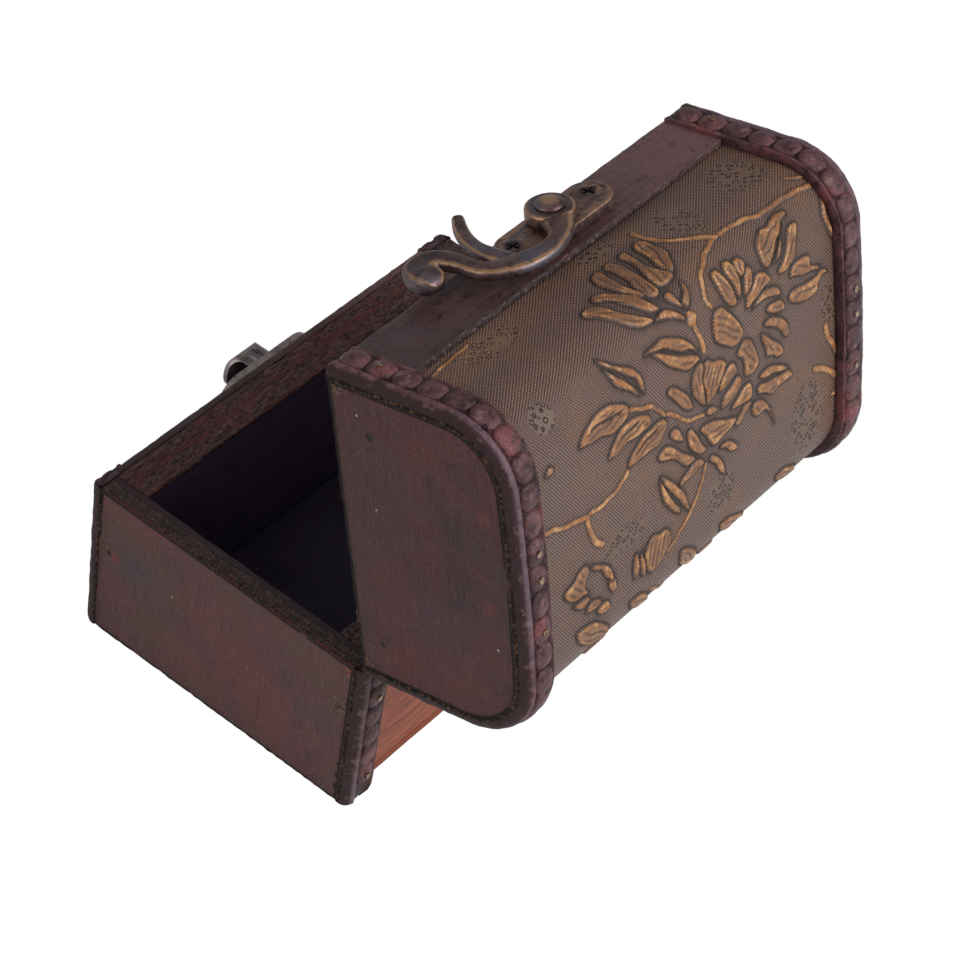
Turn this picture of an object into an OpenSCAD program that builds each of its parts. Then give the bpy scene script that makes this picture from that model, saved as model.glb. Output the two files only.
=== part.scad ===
// Small treasure-chest jewelry box of stained plywood. A domed lid swings on two butt
// hinges, beaded trims cover the corners, an embossed skin covers the lid and the front,
// and a swing-hook latch closes it. The lid stands open on its mitred back trims.
// Origin: middle of the floor's underside. +X is right, -Y is the front, +Z is up.

/* [Base] */
// Length over the end panels
box_length = 98; // [84:1:130]
// Depth over the front and back walls
box_depth = 60; // [52:1:80]
// Height of the base, from its foot to its rim
base_height = 36.2; // [30:0.1:60]
// Thickness of the front and back walls
wall = 7.5; // [6:0.5:9]
// Thickness of the end panels
end_panel = 4.5; // [3.5:0.5:6]
// Thickness of the floor board
floor_board = 2; // [1.5:0.5:4]

/* [Lid] */
// Height of the lid, from its rim to its crown
lid_height = 35.1; // [30:0.1:45]
// Radius of the lid's front corner
front_corner = 10.5; // [8:0.5:13]
// Radius of the lid's back corner
back_corner = 12.6; // [9:0.1:15]
// Radius of the slightly crowned top
crown_radius = 440; // [250:10:800]
// Thickness of the bent top board
top_board = 2.5; // [1.5:0.5:5]
// Gap between the two rims when the lid is shut
rim_gap = 0.3; // [0.2:0.1:0.8]
// Angle at which the lid stands open
lid_open = 75.4; // [60:0.1:90]

/* [Rails and embossed cover] */
// Height of the rails along the opening
rail_height = 12.5; // [11:0.5:15]
// Thickness of the rails
rail_thickness = 1.5; // [1:0.1:2]
// Thickness of the embossed cover
cover_thickness = 0.5; // [0.3:0.1:0.9]
// Strip left bare under the cover on the base front
cover_lift = 0.6; // [0.2:0.1:3]

/* [Beaded trim] */
// Width of each trim, along the box
trim_width = 6.9; // [6:0.1:9]
// Thickness of each trim
trim_thickness = 2.4; // [1.8:0.1:3.2]
// Radius of the trim's rounded outer edge
trim_round = 1.6; // [0.6:0.1:1.7]
// Distance from one bead to the next
bead_pitch = 5.3; // [4.8:0.1:7]
// Radius of a bead
bead_radius = 2.1; // [1.4:0.1:2.3]
// Height of a bead above the trim
bead_height = 0.5; // [0.2:0.1:0.8]
// Distance from a trim's end to its first bead
bead_start = 3.1; // [2.6:0.1:5]
// Radius of the small brass nails
nail_radius = 0.35; // [0.25:0.05:0.35]

/* [Latch] */
// Distance of the latch pivot from the middle of the box
latch_x = -2.8; // [-12:0.1:8]
// Height of the latch pivot above the lid's rim
latch_height = 5.4; // [5.2:0.1:6]
// Length of the latch plate
latch_length = 27.4; // [26.5:0.1:30]
// Width of the latch plate
latch_width = 8.4; // [7.6:0.1:9]
// Thickness of the latch plate
latch_thickness = 2.4; // [1.8:0.1:2.8]
// Distance between the two screws
screw_spacing = 20.5; // [19.5:0.1:21.5]
// Thickness of the swing hook
hook_thickness = 2.4; // [2:0.1:2.8]
// Radius of the rivet the hook turns on
rivet_radius = 1.5; // [1.2:0.1:1.8]
// Running clearance of the hook on its rivet
rivet_clearance = 0.05; // [0.02:0.01:0.1]

/* [Keeper] */
// Distance of the keeper's middle to the right of the latch pivot
keeper_shift = 4.3; // [3.9:0.1:4.6]
// Length of the keeper plate
keeper_length = 25; // [23:0.5:28]
// Width of the keeper plate
keeper_width = 9.8; // [9.5:0.1:10.2]
// Thickness of the keeper plate
keeper_thickness = 1.8; // [1.4:0.1:2]
// Depth of the keeper's middle below the base rim
keeper_drop = 5.8; // [5.6:0.1:6.2]
// Length of the raised hood that takes the horn
hood_length = 6.2; // [5.8:0.1:6.6]
// Height of the hood's top over the rail
hood_height = 6.6; // [6.2:0.1:7]
// Wall of the hood
hood_wall = 0.9; // [0.6:0.1:1]

/* [Hinges] */
// Distance of each hinge from the end of the box
hinge_inset = 23; // [20:0.5:28]
// Width of a hinge
hinge_width = 14; // [12:0.5:16]
// Height of a hinge leaf
leaf_height = 9; // [8:0.5:11]
// Thickness of a hinge leaf
leaf_thickness = 0.7; // [0.5:0.1:0.9]
// Distance of the hinge axis behind the back wall
hinge_offset = 1.5; // [1.45:0.05:1.6]
// Radius of the hinge knuckles
knuckle_radius = 1.2; // [1.1:0.05:1.3]
// Radius of the hinge pins
pin_radius = 0.6; // [0.5:0.05:0.7]
// Running clearance of the knuckles on the pins
pin_clearance = 0.05; // [0.02:0.01:0.1]

/* [Hidden] */
$fn = 48;

// Stain and metal colours
stain = [0.24, 0.13, 0.12];
stain_rail = [0.27, 0.14, 0.14];
bare_back = [0.45, 0.22, 0.16];
embossed = [0.30, 0.22, 0.13];
bronze = [0.36, 0.28, 0.20];
brass = [0.72, 0.60, 0.35];

// Reach of the box and of its lid
half_length = box_length / 2;
half_depth = box_depth / 2;
inner_half = half_length - end_panel;
trim_inner = half_length - trim_width;
lid_rim = base_height + rim_gap;
cut = 20;            // more than any piece is thick, for cutting tools
hair = 0.02;         // fit of a fixed metal piece in its hole
slip = 0.15;         // play between stacked metal pieces

// Lid outline: straight sides, a corner arc each, and a crown arc tangent to both
crown_z = lid_height - crown_radius;
front_y = -half_depth + front_corner;
back_y = half_depth - back_corner;
front_tilt = asin(-front_y / (crown_radius - front_corner));
back_tilt = asin(back_y / (crown_radius - back_corner));
front_spring = crown_z + (crown_radius - front_corner) * cos(front_tilt);
back_spring = crown_z + (crown_radius - back_corner) * cos(back_tilt);
corner_steps = 18;
crown_steps = 6;
round_steps = 4;

// Way over the lid, measured along the outside of its trim, from the front rim to the back rim
way_front = front_spring;
way_corner = way_front + (front_corner + trim_thickness) * (90 - front_tilt) * PI / 180;
way_crown = way_corner + (crown_radius + trim_thickness) * (front_tilt + back_tilt) * PI / 180;
way_back = way_crown + (back_corner + trim_thickness) * (90 - back_tilt) * PI / 180;
way_end = way_back + back_spring;

// Beads and nails
bead_x = max(inner_half + nail_radius + 0.1, trim_inner + bead_radius + 0.2);
bead_sink = 0.4;                       // how deep a bead starts inside its trim
lid_beads = floor((way_end - 2 * bead_start) / bead_pitch);
base_beads = floor((base_height - 2 * bead_start) / bead_pitch);
lid_nailed = [1, round(lid_beads * 0.46), round(lid_beads * 0.5), round(lid_beads * 0.59), lid_beads - 1];
base_nailed = [1, base_beads];
nail_length = 5;
nail_head_radius = 0.6;
nail_head = 0.25;
foot_round = 3;                        // rounded lower inside corner of a base trim

// Hinge axis, and the mitre that stops the open lid
hinge_spread = half_length - hinge_inset;
hinge_y = half_depth + hinge_offset;
hinge_z = base_height + rim_gap / 2;
mitre = lid_open / 2 + 1;
leaf_start = knuckle_radius + 0.3;     // a leaf's plate starts this far from the axis
knuckle_step = hinge_width / 3;
knuckle_half = knuckle_step / 2 - 0.08;
leaf_screw_x = hinge_width * 0.3;
leaf_screw_drop = leaf_start + (leaf_height - leaf_start) * 0.55;
leaf_screw_radius = 0.6;
leaf_screw_head_radius = 1.2;
leaf_screw_head = 0.5;
leaf_screw_length = 4;
pin_head_radius = 0.95;
pin_head = 0.4;

// Latch: heights are measured out from the rail's face
plate_rise = 0.7;                      // the plate's middle stands above the pivot
screw_radius = 1.1;
screw_head_radius = 2.4;
screw_head_depth = 1.2;
screw_length = 5.5;
slot_width = 0.5;
slot_length = 2.6;
slot_depth = 0.7;
hook_base = latch_thickness + slip;
hook_top = hook_base + hook_thickness;
hook_middle = hook_base + hook_thickness / 2;
head_radius = 4.4;
rivet_head_radius = 2.6;
rivet_head = 0.5;
rivet_dome = 0.7;
rivet_tail = 3;                        // how far the rivet goes into the wall behind the rail
horn_thin = 0.25;                      // the horn is this much thinner on each face
// Middle line and half width of the hook's arm, from its head to its curl
arm = [
    [0, 0, 4.2], [1.9, 2.9, 3.2], [5.4, 6.2, 1.9], [10.4, 7.3, 1.95], [15.4, 5.9, 2.5],
    [19.7, 3.2, 2.1], [20.8, 0.6, 1.9], [20.9, -2.2, 1.8]
];
// Middle line and half width of the horn that enters the keeper
horn = [
    [15.7, 3.6, 2.1], [16.1, 0.1, 1.8], [15.8, -3, 1.5], [14.6, -6.1, 1.4], [12.8, -8.8, 1.3],
    [10.6, -11.2, 1.1]
];
ribbon_steps = 5;
// Finger end of the arm, curled half round
curl_centre = [24.5, -4.2];
curl_radius = 3.3;
curl_tube = 2.2;
curl_steps = 7;
curl = [for (i = [0:curl_steps]) let (a = 180 + 185 * i / curl_steps)
    [curl_centre[0] + curl_radius * cos(a), curl_centre[1] + curl_radius * sin(a), curl_tube]];

// Keeper: its hood opens to the right, where the horn comes from
keeper_x = latch_x + keeper_shift;
keeper_z = base_height - keeper_drop;
keeper_screw_inset = 3.75;             // from the keeper's end to the middle of its screw
keeper_screw_spacing = keeper_length - 2 * keeper_screw_inset;
hood_mouth = 2.2;                      // from the keeper's middle to the hood's open end
hood_half = keeper_width / 2 - 0.1;
hood_round = 2.8;

// ---- Helpers -------------------------------------------------------------

// Points of an arc in the plane of the end panels
function arc(c, r, from, to, steps) =
    [for (i = [0:steps]) let (a = from + (to - from) * i / steps) [c[0] + r * cos(a), c[1] + r * sin(a)]];

// The lid's outline from the back rim over the top to the front rim, pushed out by a distance
function lid_arcs(out) = concat(
    arc([back_y, back_spring], back_corner + out, 0, 90 - back_tilt, corner_steps),
    [for (i = [1:crown_steps - 1])
        let (a = 90 - back_tilt + (back_tilt + front_tilt) * i / crown_steps, r = crown_radius + out)
        [r * cos(a), crown_z + r * sin(a)]],
    arc([front_y, front_spring], front_corner + out, 90 + front_tilt, 180, corner_steps)
);
function lid_outline(out, lift) =
    concat([[half_depth + out, lift]], lid_arcs(out), [[-half_depth - out, lift]]);

// Where the way over the lid turns about, how far out it lies, and which way it faces
function lid_turn(s) =
    s < way_front ? [front_y, s]
    : s < way_corner ? [front_y, front_spring]
    : s < way_crown ? [0, crown_z]
    : s < way_back ? [back_y, back_spring]
    : [back_y, back_spring - (s - way_back)];
function lid_reach(s) = s < way_corner ? front_corner : s < way_crown ? crown_radius : back_corner;
function lid_facing(s) =
    s < way_front ? 180
    : s < way_corner ? 180 - (s - way_front) / (front_corner + trim_thickness) * 180 / PI
    : s < way_crown ? 90 + front_tilt - (s - way_corner) / (crown_radius + trim_thickness) * 180 / PI
    : s < way_back ? 90 - back_tilt - (s - way_crown) / (back_corner + trim_thickness) * 180 / PI
    : 0;

// Smooth curve through the points of a list, and the two edges of a ribbon along it
function between(a, b, c, d, t) =
    (2 * b + (c - a) * t + (2 * a - 5 * b + 4 * c - d) * t * t + (3 * b - a - 3 * c + d) * t * t * t) / 2;
function smooth(path) = concat(
    [for (i = [0:len(path) - 2], k = [0:ribbon_steps - 1])
        between(path[max(i - 1, 0)], path[i], path[i + 1], path[min(i + 2, len(path) - 1)], k / ribbon_steps)],
    [path[len(path) - 1]]
);
function heading(line, i) =
    let (d = line[min(i + 1, len(line) - 1)] - line[max(i - 1, 0)]) [d[0], d[1]] / norm([d[0], d[1]]);
function edge(line, side) =
    [for (i = [0:len(line) - 1]) let (d = heading(line, i), p = line[i])
        [p[0] - side * p[2] * d[1], p[1] + side * p[2] * d[0]]];
function backwards(list) = [for (i = [len(list) - 1:-1:0]) list[i]];

module ribbon(path) {
    line = smooth(path);
    polygon(concat(edge(line, 1), backwards(edge(line, -1))));
}

// Board between two x positions and two y positions, from one height to another
module board(x, y, z) {
    translate([x[0], y[0], z[0]])
        cube([x[1] - x[0], y[1] - y[0], z[1] - z[0]]);
}

// Turns the shut lid to where it stands open
module opened() {
    translate([0, hinge_y, hinge_z])
        rotate([-lid_open, 0, 0])
            translate([0, -hinge_y, -hinge_z])
                children();
}

// Mirrors a piece to the left end, and a front piece to the back
module mirrored(left) {
    if (left) mirror([1, 0, 0]) children();
    else children();
}

module turned_back(back) {
    if (back) mirror([0, 1, 0]) children();
    else children();
}

// Extrudes a shape drawn in the plane of the lid's ends, between two x positions
module along_lid(x) {
    translate([x[0], 0, lid_rim])
        rotate([90, 0, 90])
            linear_extrude(x[1] - x[0]) children();
}

// Puts a piece on the lid's edge, its z axis pointing outwards
module on_lid_edge(s) {
    turn = lid_turn(s);
    translate([0, turn[0], lid_rim + turn[1]])
        rotate([lid_facing(s) - 90, 0, 0])
            translate([0, 0, lid_reach(s)])
                children();
}

// Puts a piece on the front face of the base: x right, y up, z outwards
module on_base_front(z) {
    translate([0, -half_depth, z])
        rotate([90, 0, 0])
            children();
}

// Puts a piece on the lid's rail or the base's rail: x right, y up, z outwards
module on_rail(x, z) {
    translate([x, -half_depth - rail_thickness, z])
        rotate([90, 0, 0])
            children();
}

// ---- Boards --------------------------------------------------------------

module end_board(left) {
    color(stain) mirrored(left)
        board([inner_half, half_length], [-half_depth, half_depth], [0, base_height]);
}

module base_floor() {
    color(stain)
        board([-inner_half, inner_half], [-half_depth, half_depth], [0, floor_board]);
}

module base_front_wall() {
    color(stain)
        board([-inner_half, inner_half], [-half_depth, -half_depth + wall], [floor_board, base_height]);
}

module base_back_wall() {
    color(bare_back)
        board([-inner_half, inner_half], [half_depth - wall, half_depth], [floor_board, base_height]);
}

module base_end_right() { end_board(false); }
module base_end_left() { end_board(true); }

module base_front_rail() {
    color(stain_rail)
        board([-trim_inner, trim_inner], [-half_depth - rail_thickness, -half_depth],
              [base_height - rail_height, base_height]);
}

module base_front_cover() {
    color(embossed)
        board([-trim_inner, trim_inner], [-half_depth - cover_thickness, -half_depth],
              [cover_lift, base_height - rail_height]);
}

module lid_front_wall() {
    color(stain) opened()
        board([-inner_half, inner_half], [-half_depth, -half_depth + wall],
              [lid_rim, lid_rim + front_spring]);
}

module lid_back_wall() {
    color(bare_back) opened()
        board([-inner_half, inner_half], [half_depth - wall, half_depth],
              [lid_rim, lid_rim + back_spring]);
}

module lid_end(left) {
    color(stain) opened() mirrored(left)
        along_lid([inner_half, half_length]) polygon(lid_outline(0, 0));
}

module lid_end_right() { lid_end(false); }
module lid_end_left() { lid_end(true); }

module lid_top_board() {
    color(stain) opened()
        along_lid([-inner_half, inner_half]) polygon(concat(lid_arcs(0), backwards(lid_arcs(-top_board))));
}

module lid_front_rail() {
    color(stain_rail) opened()
        board([-trim_inner, trim_inner], [-half_depth - rail_thickness, -half_depth],
              [lid_rim, lid_rim + rail_height]);
}

module lid_cover() {
    color(embossed) opened()
        along_lid([-trim_inner, trim_inner])
            polygon(concat(lid_outline(cover_thickness, rail_height), backwards(lid_outline(0, rail_height))));
}

// ---- Beaded trims --------------------------------------------------------

// Section of a base trim, its outer end edge rounded: [outwards, along the box]
module trim_section() {
    translate([0, trim_inner]) square([trim_thickness, trim_width - trim_round]);
    intersection() {
        translate([0, trim_inner]) square([trim_thickness, trim_width]);
        union() {
            translate([0, trim_inner]) square([trim_thickness - trim_round, trim_width]);
            translate([trim_thickness - trim_round, half_length - trim_round]) circle(trim_round);
        }
    }
}

module bead() {
    translate([bead_x, 0, bead_sink])
        cylinder(h = trim_thickness + bead_height - bead_sink, r = bead_radius);
}

module nail() {
    translate([bead_x, 0, trim_thickness + bead_height - nail_length])
        cylinder(h = nail_length, r = nail_radius, $fn = 24);
    translate([bead_x, 0, trim_thickness + bead_height])
        cylinder(h = nail_head, r = nail_head_radius, $fn = 24);
}

// Wedge behind the hinge axis that mitres a trim's end, up (1) or down (-1) from the axis
module mitre_cut(way) {
    translate([-half_length - 1, hinge_y, hinge_z])
        rotate([90, 0, 90])
            linear_extrude(2 * half_length + 2)
                polygon([[0, 0], [cut, -way * cut * tan(mitre)], [cut, way * cut], [0, way * cut]]);
}

// Cuts the lower inside corner of a base trim round
module foot_cut() {
    translate([trim_inner, -half_depth - cut / 2, 0]) difference() {
        translate([-1, 0, -1]) cube([foot_round + 1, cut, foot_round + 1]);
        translate([foot_round, -1, foot_round])
            rotate([-90, 0, 0]) cylinder(h = cut + 2, r = foot_round);
    }
}

module base_trim(back, left) {
    color(stain) difference() {
        turned_back(back) mirrored(left) {
            difference() {
                translate([0, -half_depth, 0])
                    rotate([0, 0, -90])
                        linear_extrude(base_height) trim_section();
                foot_cut();
            }
            for (i = [0:base_beads]) on_base_front(base_height - bead_start - i * bead_pitch) bead();
        }
        mitre_cut(1);
    }
}

module base_trim_front_right() { base_trim(false, false); }
module base_trim_front_left() { base_trim(false, true); }
module base_trim_back_right() { base_trim(true, false); }
module base_trim_back_left() { base_trim(true, true); }

module base_trim_nails() {
    color(brass) for (back = [false, true], left = [false, true])
        turned_back(back) mirrored(left)
            for (i = base_nailed) on_base_front(base_height - bead_start - i * bead_pitch) nail();
}

// The lid trim's outer end edge falls away in small steps
module lid_trim(left) {
    color(stain) opened() mirrored(left) difference() {
        union() {
            for (i = [0:round_steps]) {
                reach = half_length - trim_round * (1 - sin(90 * i / round_steps));
                rise = trim_thickness - trim_round * (1 - cos(90 * max(i - 0.5, 0) / round_steps));
                along_lid([trim_inner, reach])
                    polygon(concat(lid_outline(rise, 0), backwards(lid_outline(0, 0))));
            }
            for (i = [0:lid_beads]) on_lid_edge(bead_start + i * bead_pitch) bead();
        }
        mitre_cut(-1);
    }
}

module lid_trim_right() { lid_trim(false); }
module lid_trim_left() { lid_trim(true); }

module lid_trim_nails() {
    color(brass) opened()
        for (left = [false, true]) mirrored(left)
            for (i = lid_nailed) on_lid_edge(bead_start + i * bead_pitch) nail();
}

// ---- Keeper --------------------------------------------------------------

// Flat plate outline with round ends
module stadium(length, width) {
    square([length - width, width], center = true);
    for (side = [-1, 1]) translate([side * (length - width) / 2, 0]) circle(width / 2);
}

// Countersunk cross-slot screw, the top of its head at z = 0
module wood_screw() {
    difference() {
        union() {
            translate([0, 0, -screw_head_depth])
                cylinder(h = screw_head_depth, r1 = screw_radius, r2 = screw_head_radius);
            translate([0, 0, -screw_length])
                cylinder(h = screw_length - screw_head_depth / 2, r = screw_radius);
        }
        for (turn = [0, 90])
            rotate([0, 0, turn])
                translate([-slot_length / 2, -slot_width / 2, -slot_depth])
                    cube([slot_length, slot_width, slot_depth + 1]);
    }
}

// Countersunk hole for that screw, cut down from z = 0
module screw_hole() {
    slope = (screw_head_radius - screw_radius) / screw_head_depth;
    translate([0, 0, -screw_head_depth])
        cylinder(h = screw_head_depth + 1, r1 = screw_radius + hair, r2 = screw_head_radius + hair + slope);
    translate([0, 0, -cut]) cylinder(h = cut, r = screw_radius + hair);
}

// Hood shape: round at its closed end, its upper edges rounded; inset by a wall for the cavity
module hood(inset, reach) {
    half = hood_half - inset;
    top = hood_height - inset;
    round_edge = hood_round - inset;
    turn_x = hood_mouth - hood_length + hood_half;
    intersection() {
        linear_extrude(top) {
            translate([turn_x, -half]) square([hood_mouth + reach - turn_x, 2 * half]);
            translate([turn_x, 0]) circle(half);
        }
        translate([-cut, 0, 0]) rotate([90, 0, 90]) linear_extrude(2 * cut) {
            translate([-half, 0]) square([2 * half, top - round_edge]);
            translate([-half + round_edge, 0]) square([2 * (half - round_edge), top]);
            for (side = [-1, 1])
                translate([side * (half - round_edge), top - round_edge]) circle(round_edge);
        }
    }
}

module keeper_plate() {
    color(bronze) on_rail(keeper_x, keeper_z) difference() {
        union() {
            linear_extrude(keeper_thickness) stadium(keeper_length, keeper_width);
            hood(0, 0);
        }
        difference() {
            hood(hood_wall, 5);
            translate([-cut, -cut, -1]) cube([2 * cut, 2 * cut, 1 + keeper_thickness]);
        }
        for (side = [-1, 1])
            translate([side * keeper_screw_spacing / 2, 0, keeper_thickness]) screw_hole();
    }
}

module keeper_screws() {
    color(bronze) on_rail(keeper_x, keeper_z)
        for (side = [-1, 1])
            translate([side * keeper_screw_spacing / 2, 0, keeper_thickness]) wood_screw();
}

// ---- Latch on the lid ----------------------------------------------------

module latch_plate() {
    color(bronze) opened() on_rail(latch_x, lid_rim + latch_height) difference() {
        translate([0, plate_rise, 0])
            linear_extrude(latch_thickness) stadium(latch_length, latch_width);
        translate([0, 0, -1]) cylinder(h = cut, r = rivet_radius + hair);
        for (side = [-1, 1])
            translate([side * screw_spacing / 2, 0, latch_thickness]) screw_hole();
    }
}

module latch_screws() {
    color(bronze) opened() on_rail(latch_x, lid_rim + latch_height)
        for (side = [-1, 1])
            translate([side * screw_spacing / 2, 0, latch_thickness]) wood_screw();
}

// Domed rivet driven through the plate; the hook turns on it under its head
module latch_rivet() {
    dome_radius = (rivet_head_radius * rivet_head_radius + rivet_dome * rivet_dome) / (2 * rivet_dome);
    color(bronze) opened() on_rail(latch_x, lid_rim + latch_height) {
        translate([0, 0, -rivet_tail]) cylinder(h = hook_top + slip + rivet_tail, r = rivet_radius);
        translate([0, 0, hook_top + slip]) cylinder(h = rivet_head, r = rivet_head_radius);
        translate([0, 0, hook_top + slip + rivet_head]) intersection() {
            translate([0, 0, rivet_dome - dome_radius]) sphere(dome_radius);
            cylinder(h = rivet_dome + 1, r = rivet_head_radius);
        }
    }
}

module latch_hook() {
    color(bronze) opened() on_rail(latch_x, lid_rim + latch_height) difference() {
        union() {
            translate([0, 0, hook_base]) linear_extrude(hook_thickness) {
                circle(head_radius);
                ribbon(concat(arm, curl));
                translate([curl[curl_steps][0], curl[curl_steps][1]]) circle(curl_tube);
            }
            translate([0, 0, hook_base + horn_thin]) linear_extrude(hook_thickness - 2 * horn_thin) {
                ribbon(horn);
                translate([horn[5][0], horn[5][1]]) circle(horn[5][2]);
            }
        }
        cylinder(h = cut, r = rivet_radius + rivet_clearance);
    }
}

// ---- Hinges --------------------------------------------------------------

// Hinge leaf hanging down from its axis, with the outer two knuckles or the middle one
module leaf(outer) {
    difference() {
        union() {
            board([-hinge_width / 2, hinge_width / 2], [-hinge_offset, -hinge_offset + leaf_thickness],
                  [-leaf_height, -leaf_start]);
            for (x = outer ? [-knuckle_step, knuckle_step] : [0]) {
                board([x - knuckle_half, x + knuckle_half],
                      [-hinge_offset, -hinge_offset + leaf_thickness], [-leaf_start - 0.2, 0]);
                translate([x - knuckle_half, 0, 0])
                    rotate([0, 90, 0]) cylinder(h = 2 * knuckle_half, r = knuckle_radius);
            }
        }
        translate([-hinge_width, 0, 0])
            rotate([0, 90, 0])
                cylinder(h = 2 * hinge_width, r = pin_radius + (outer ? hair : pin_clearance));
        for (side = [-1, 1])
            translate([side * leaf_screw_x, cut / 2, -leaf_screw_drop])
                rotate([90, 0, 0]) cylinder(h = cut, r = leaf_screw_radius + hair);
    }
}

module base_leaf(left) {
    color(brass) mirrored(left) translate([hinge_spread, hinge_y, hinge_z]) leaf(true);
}

module lid_leaf(left) {
    color(brass) opened() mirrored(left)
        translate([hinge_spread, hinge_y, hinge_z]) mirror([0, 0, 1]) leaf(false);
}

// Pin through the knuckles, a small head at either end
module hinge_pin(left) {
    color(brass) mirrored(left) translate([hinge_spread, hinge_y, hinge_z]) rotate([0, 90, 0]) {
        pin_half = knuckle_step + knuckle_half;
        translate([0, 0, -pin_half]) cylinder(h = 2 * pin_half, r = pin_radius);
        for (side = [-1, 1])
            translate([0, 0, side * (pin_half + pin_head / 2) - pin_head / 2])
                cylinder(h = pin_head, r = pin_head_radius);
    }
}

// Two round-head screws through a leaf, into the wall behind it
module leaf_screws() {
    for (left = [false, true], side = [-1, 1])
        mirrored(left)
            translate([hinge_spread + side * leaf_screw_x, half_depth + leaf_thickness, -leaf_screw_drop])
                rotate([-90, 0, 0]) {
                    translate([0, 0, -leaf_screw_length])
                        cylinder(h = leaf_screw_length, r = leaf_screw_radius);
                    cylinder(h = leaf_screw_head, r = leaf_screw_head_radius);
                }
}

module base_hinge_leaf_right() { base_leaf(false); }
module base_hinge_leaf_left() { base_leaf(true); }
module hinge_pin_right() { hinge_pin(false); }
module hinge_pin_left() { hinge_pin(true); }
module lid_hinge_leaf_right() { lid_leaf(false); }
module lid_hinge_leaf_left() { lid_leaf(true); }

module base_hinge_screws() {
    color(brass) translate([0, 0, hinge_z]) leaf_screws();
}

module lid_hinge_screws() {
    color(brass) opened() translate([0, 0, hinge_z]) mirror([0, 0, 1]) leaf_screws();
}

// ---- Assembly ------------------------------------------------------------

base_floor();
base_front_wall();
base_back_wall();
base_end_right();
base_end_left();
base_front_rail();
base_front_cover();
base_trim_front_right();
base_trim_front_left();
base_trim_back_right();
base_trim_back_left();
base_trim_nails();
keeper_plate();
keeper_screws();
base_hinge_leaf_right();
base_hinge_leaf_left();
hinge_pin_right();
hinge_pin_left();
base_hinge_screws();
lid_front_wall();
lid_back_wall();
lid_end_right();
lid_end_left();
lid_top_board();
lid_front_rail();
lid_cover();
lid_trim_right();
lid_trim_left();
lid_trim_nails();
latch_plate();
latch_screws();
latch_rivet();
lid_hinge_leaf_right();
lid_hinge_leaf_left();
lid_hinge_screws();
latch_hook();
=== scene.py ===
import math
import bpy
import numpy as np
from mathutils import Matrix, Vector, noise


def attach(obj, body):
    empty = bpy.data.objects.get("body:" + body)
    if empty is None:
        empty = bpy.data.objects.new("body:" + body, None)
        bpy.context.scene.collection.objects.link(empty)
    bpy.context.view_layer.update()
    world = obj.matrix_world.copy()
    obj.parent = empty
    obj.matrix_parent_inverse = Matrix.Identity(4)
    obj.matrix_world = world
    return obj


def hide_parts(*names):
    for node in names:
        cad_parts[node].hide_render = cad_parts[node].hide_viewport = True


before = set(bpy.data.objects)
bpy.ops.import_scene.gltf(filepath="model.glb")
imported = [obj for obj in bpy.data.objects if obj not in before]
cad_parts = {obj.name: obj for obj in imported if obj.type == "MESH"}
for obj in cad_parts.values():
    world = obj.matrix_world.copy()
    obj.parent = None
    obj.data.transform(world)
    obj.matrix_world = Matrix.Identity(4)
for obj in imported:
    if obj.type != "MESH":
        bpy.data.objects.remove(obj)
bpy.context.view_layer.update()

# Fixes where the smooth noise that frays the boards is read, so that each run gives the same boards
noise.seed_set(7)

# The hinge axis, how far the lid stands open about it, and the shift that goes with the
# turn that takes a place on the open lid back to where it is when the lid is shut
hinge_back = 0.0315
hinge_height = 0.03635
lid_open = math.radians(75.4)
hinge_axis = Vector((0, hinge_back, hinge_height))
shut_shift = hinge_axis - Matrix.Rotation(lid_open, 3, "X") @ hinge_axis

# The view: a small box seen from its right end, from behind its open lid and
# from above, a little rolled, as it was laid on a white table.
eye = bpy.data.cameras.new("eye")
eye.sensor_width = 36.0
eye.lens = 119.27
eye.clip_start = 0.05
eye.clip_end = 20.0
eye_object = bpy.data.objects.new("eye", eye)
bpy.context.collection.objects.link(eye_object)
eye_object.location = (0.343888, 0.231720, 0.443432)
eye_object.rotation_euler = [math.radians(turn) for turn in (44.5717, -6.9969, 129.0147)]
bpy.context.scene.camera = eye_object
bpy.context.scene.view_settings.view_transform = "Standard"

# The studio: a white table that fades into white, one broad soft lamp behind
# and above the lid, a weaker one from the front and a dim surrounding light.


def worked(operation, turned=False):
    """A method of a tone that adds a Math node; turned swaps its two values."""
    def method(*values):
        return values[0].finish.node("ShaderNodeMath", {"operation": operation}, *values[::-1 if turned else 1])
    return method


class Tone:
    """One output socket of a finish; sums and products of tones add Math nodes."""

    def __init__(self, finish, socket):
        self.finish = finish
        self.socket = socket

    __add__, __radd__ = worked("ADD"), worked("ADD", True)
    __sub__, __rsub__ = worked("SUBTRACT"), worked("SUBTRACT", True)
    __mul__, __rmul__ = worked("MULTIPLY"), worked("MULTIPLY", True)
    __abs__, least, most = worked("ABSOLUTE"), worked("MINIMUM"), worked("MAXIMUM")

    def between(self, low, high):
        """0 below low and 1 above high, eased between them."""
        return self.finish.node("ShaderNodeMapRange", {"interpolation_type": "SMOOTHSTEP"},
                                Value=self, From_Min=low, From_Max=high)


def shade(red, green, blue):
    """A colour given as it looks on a screen, 0 to 255, made linear for the shader."""
    parts = [value / 255 for value in (red, green, blue)]
    return tuple(part / 12.92 if part <= 0.04045 else ((part + 0.055) / 1.055) ** 2.4 for part in parts)


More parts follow.
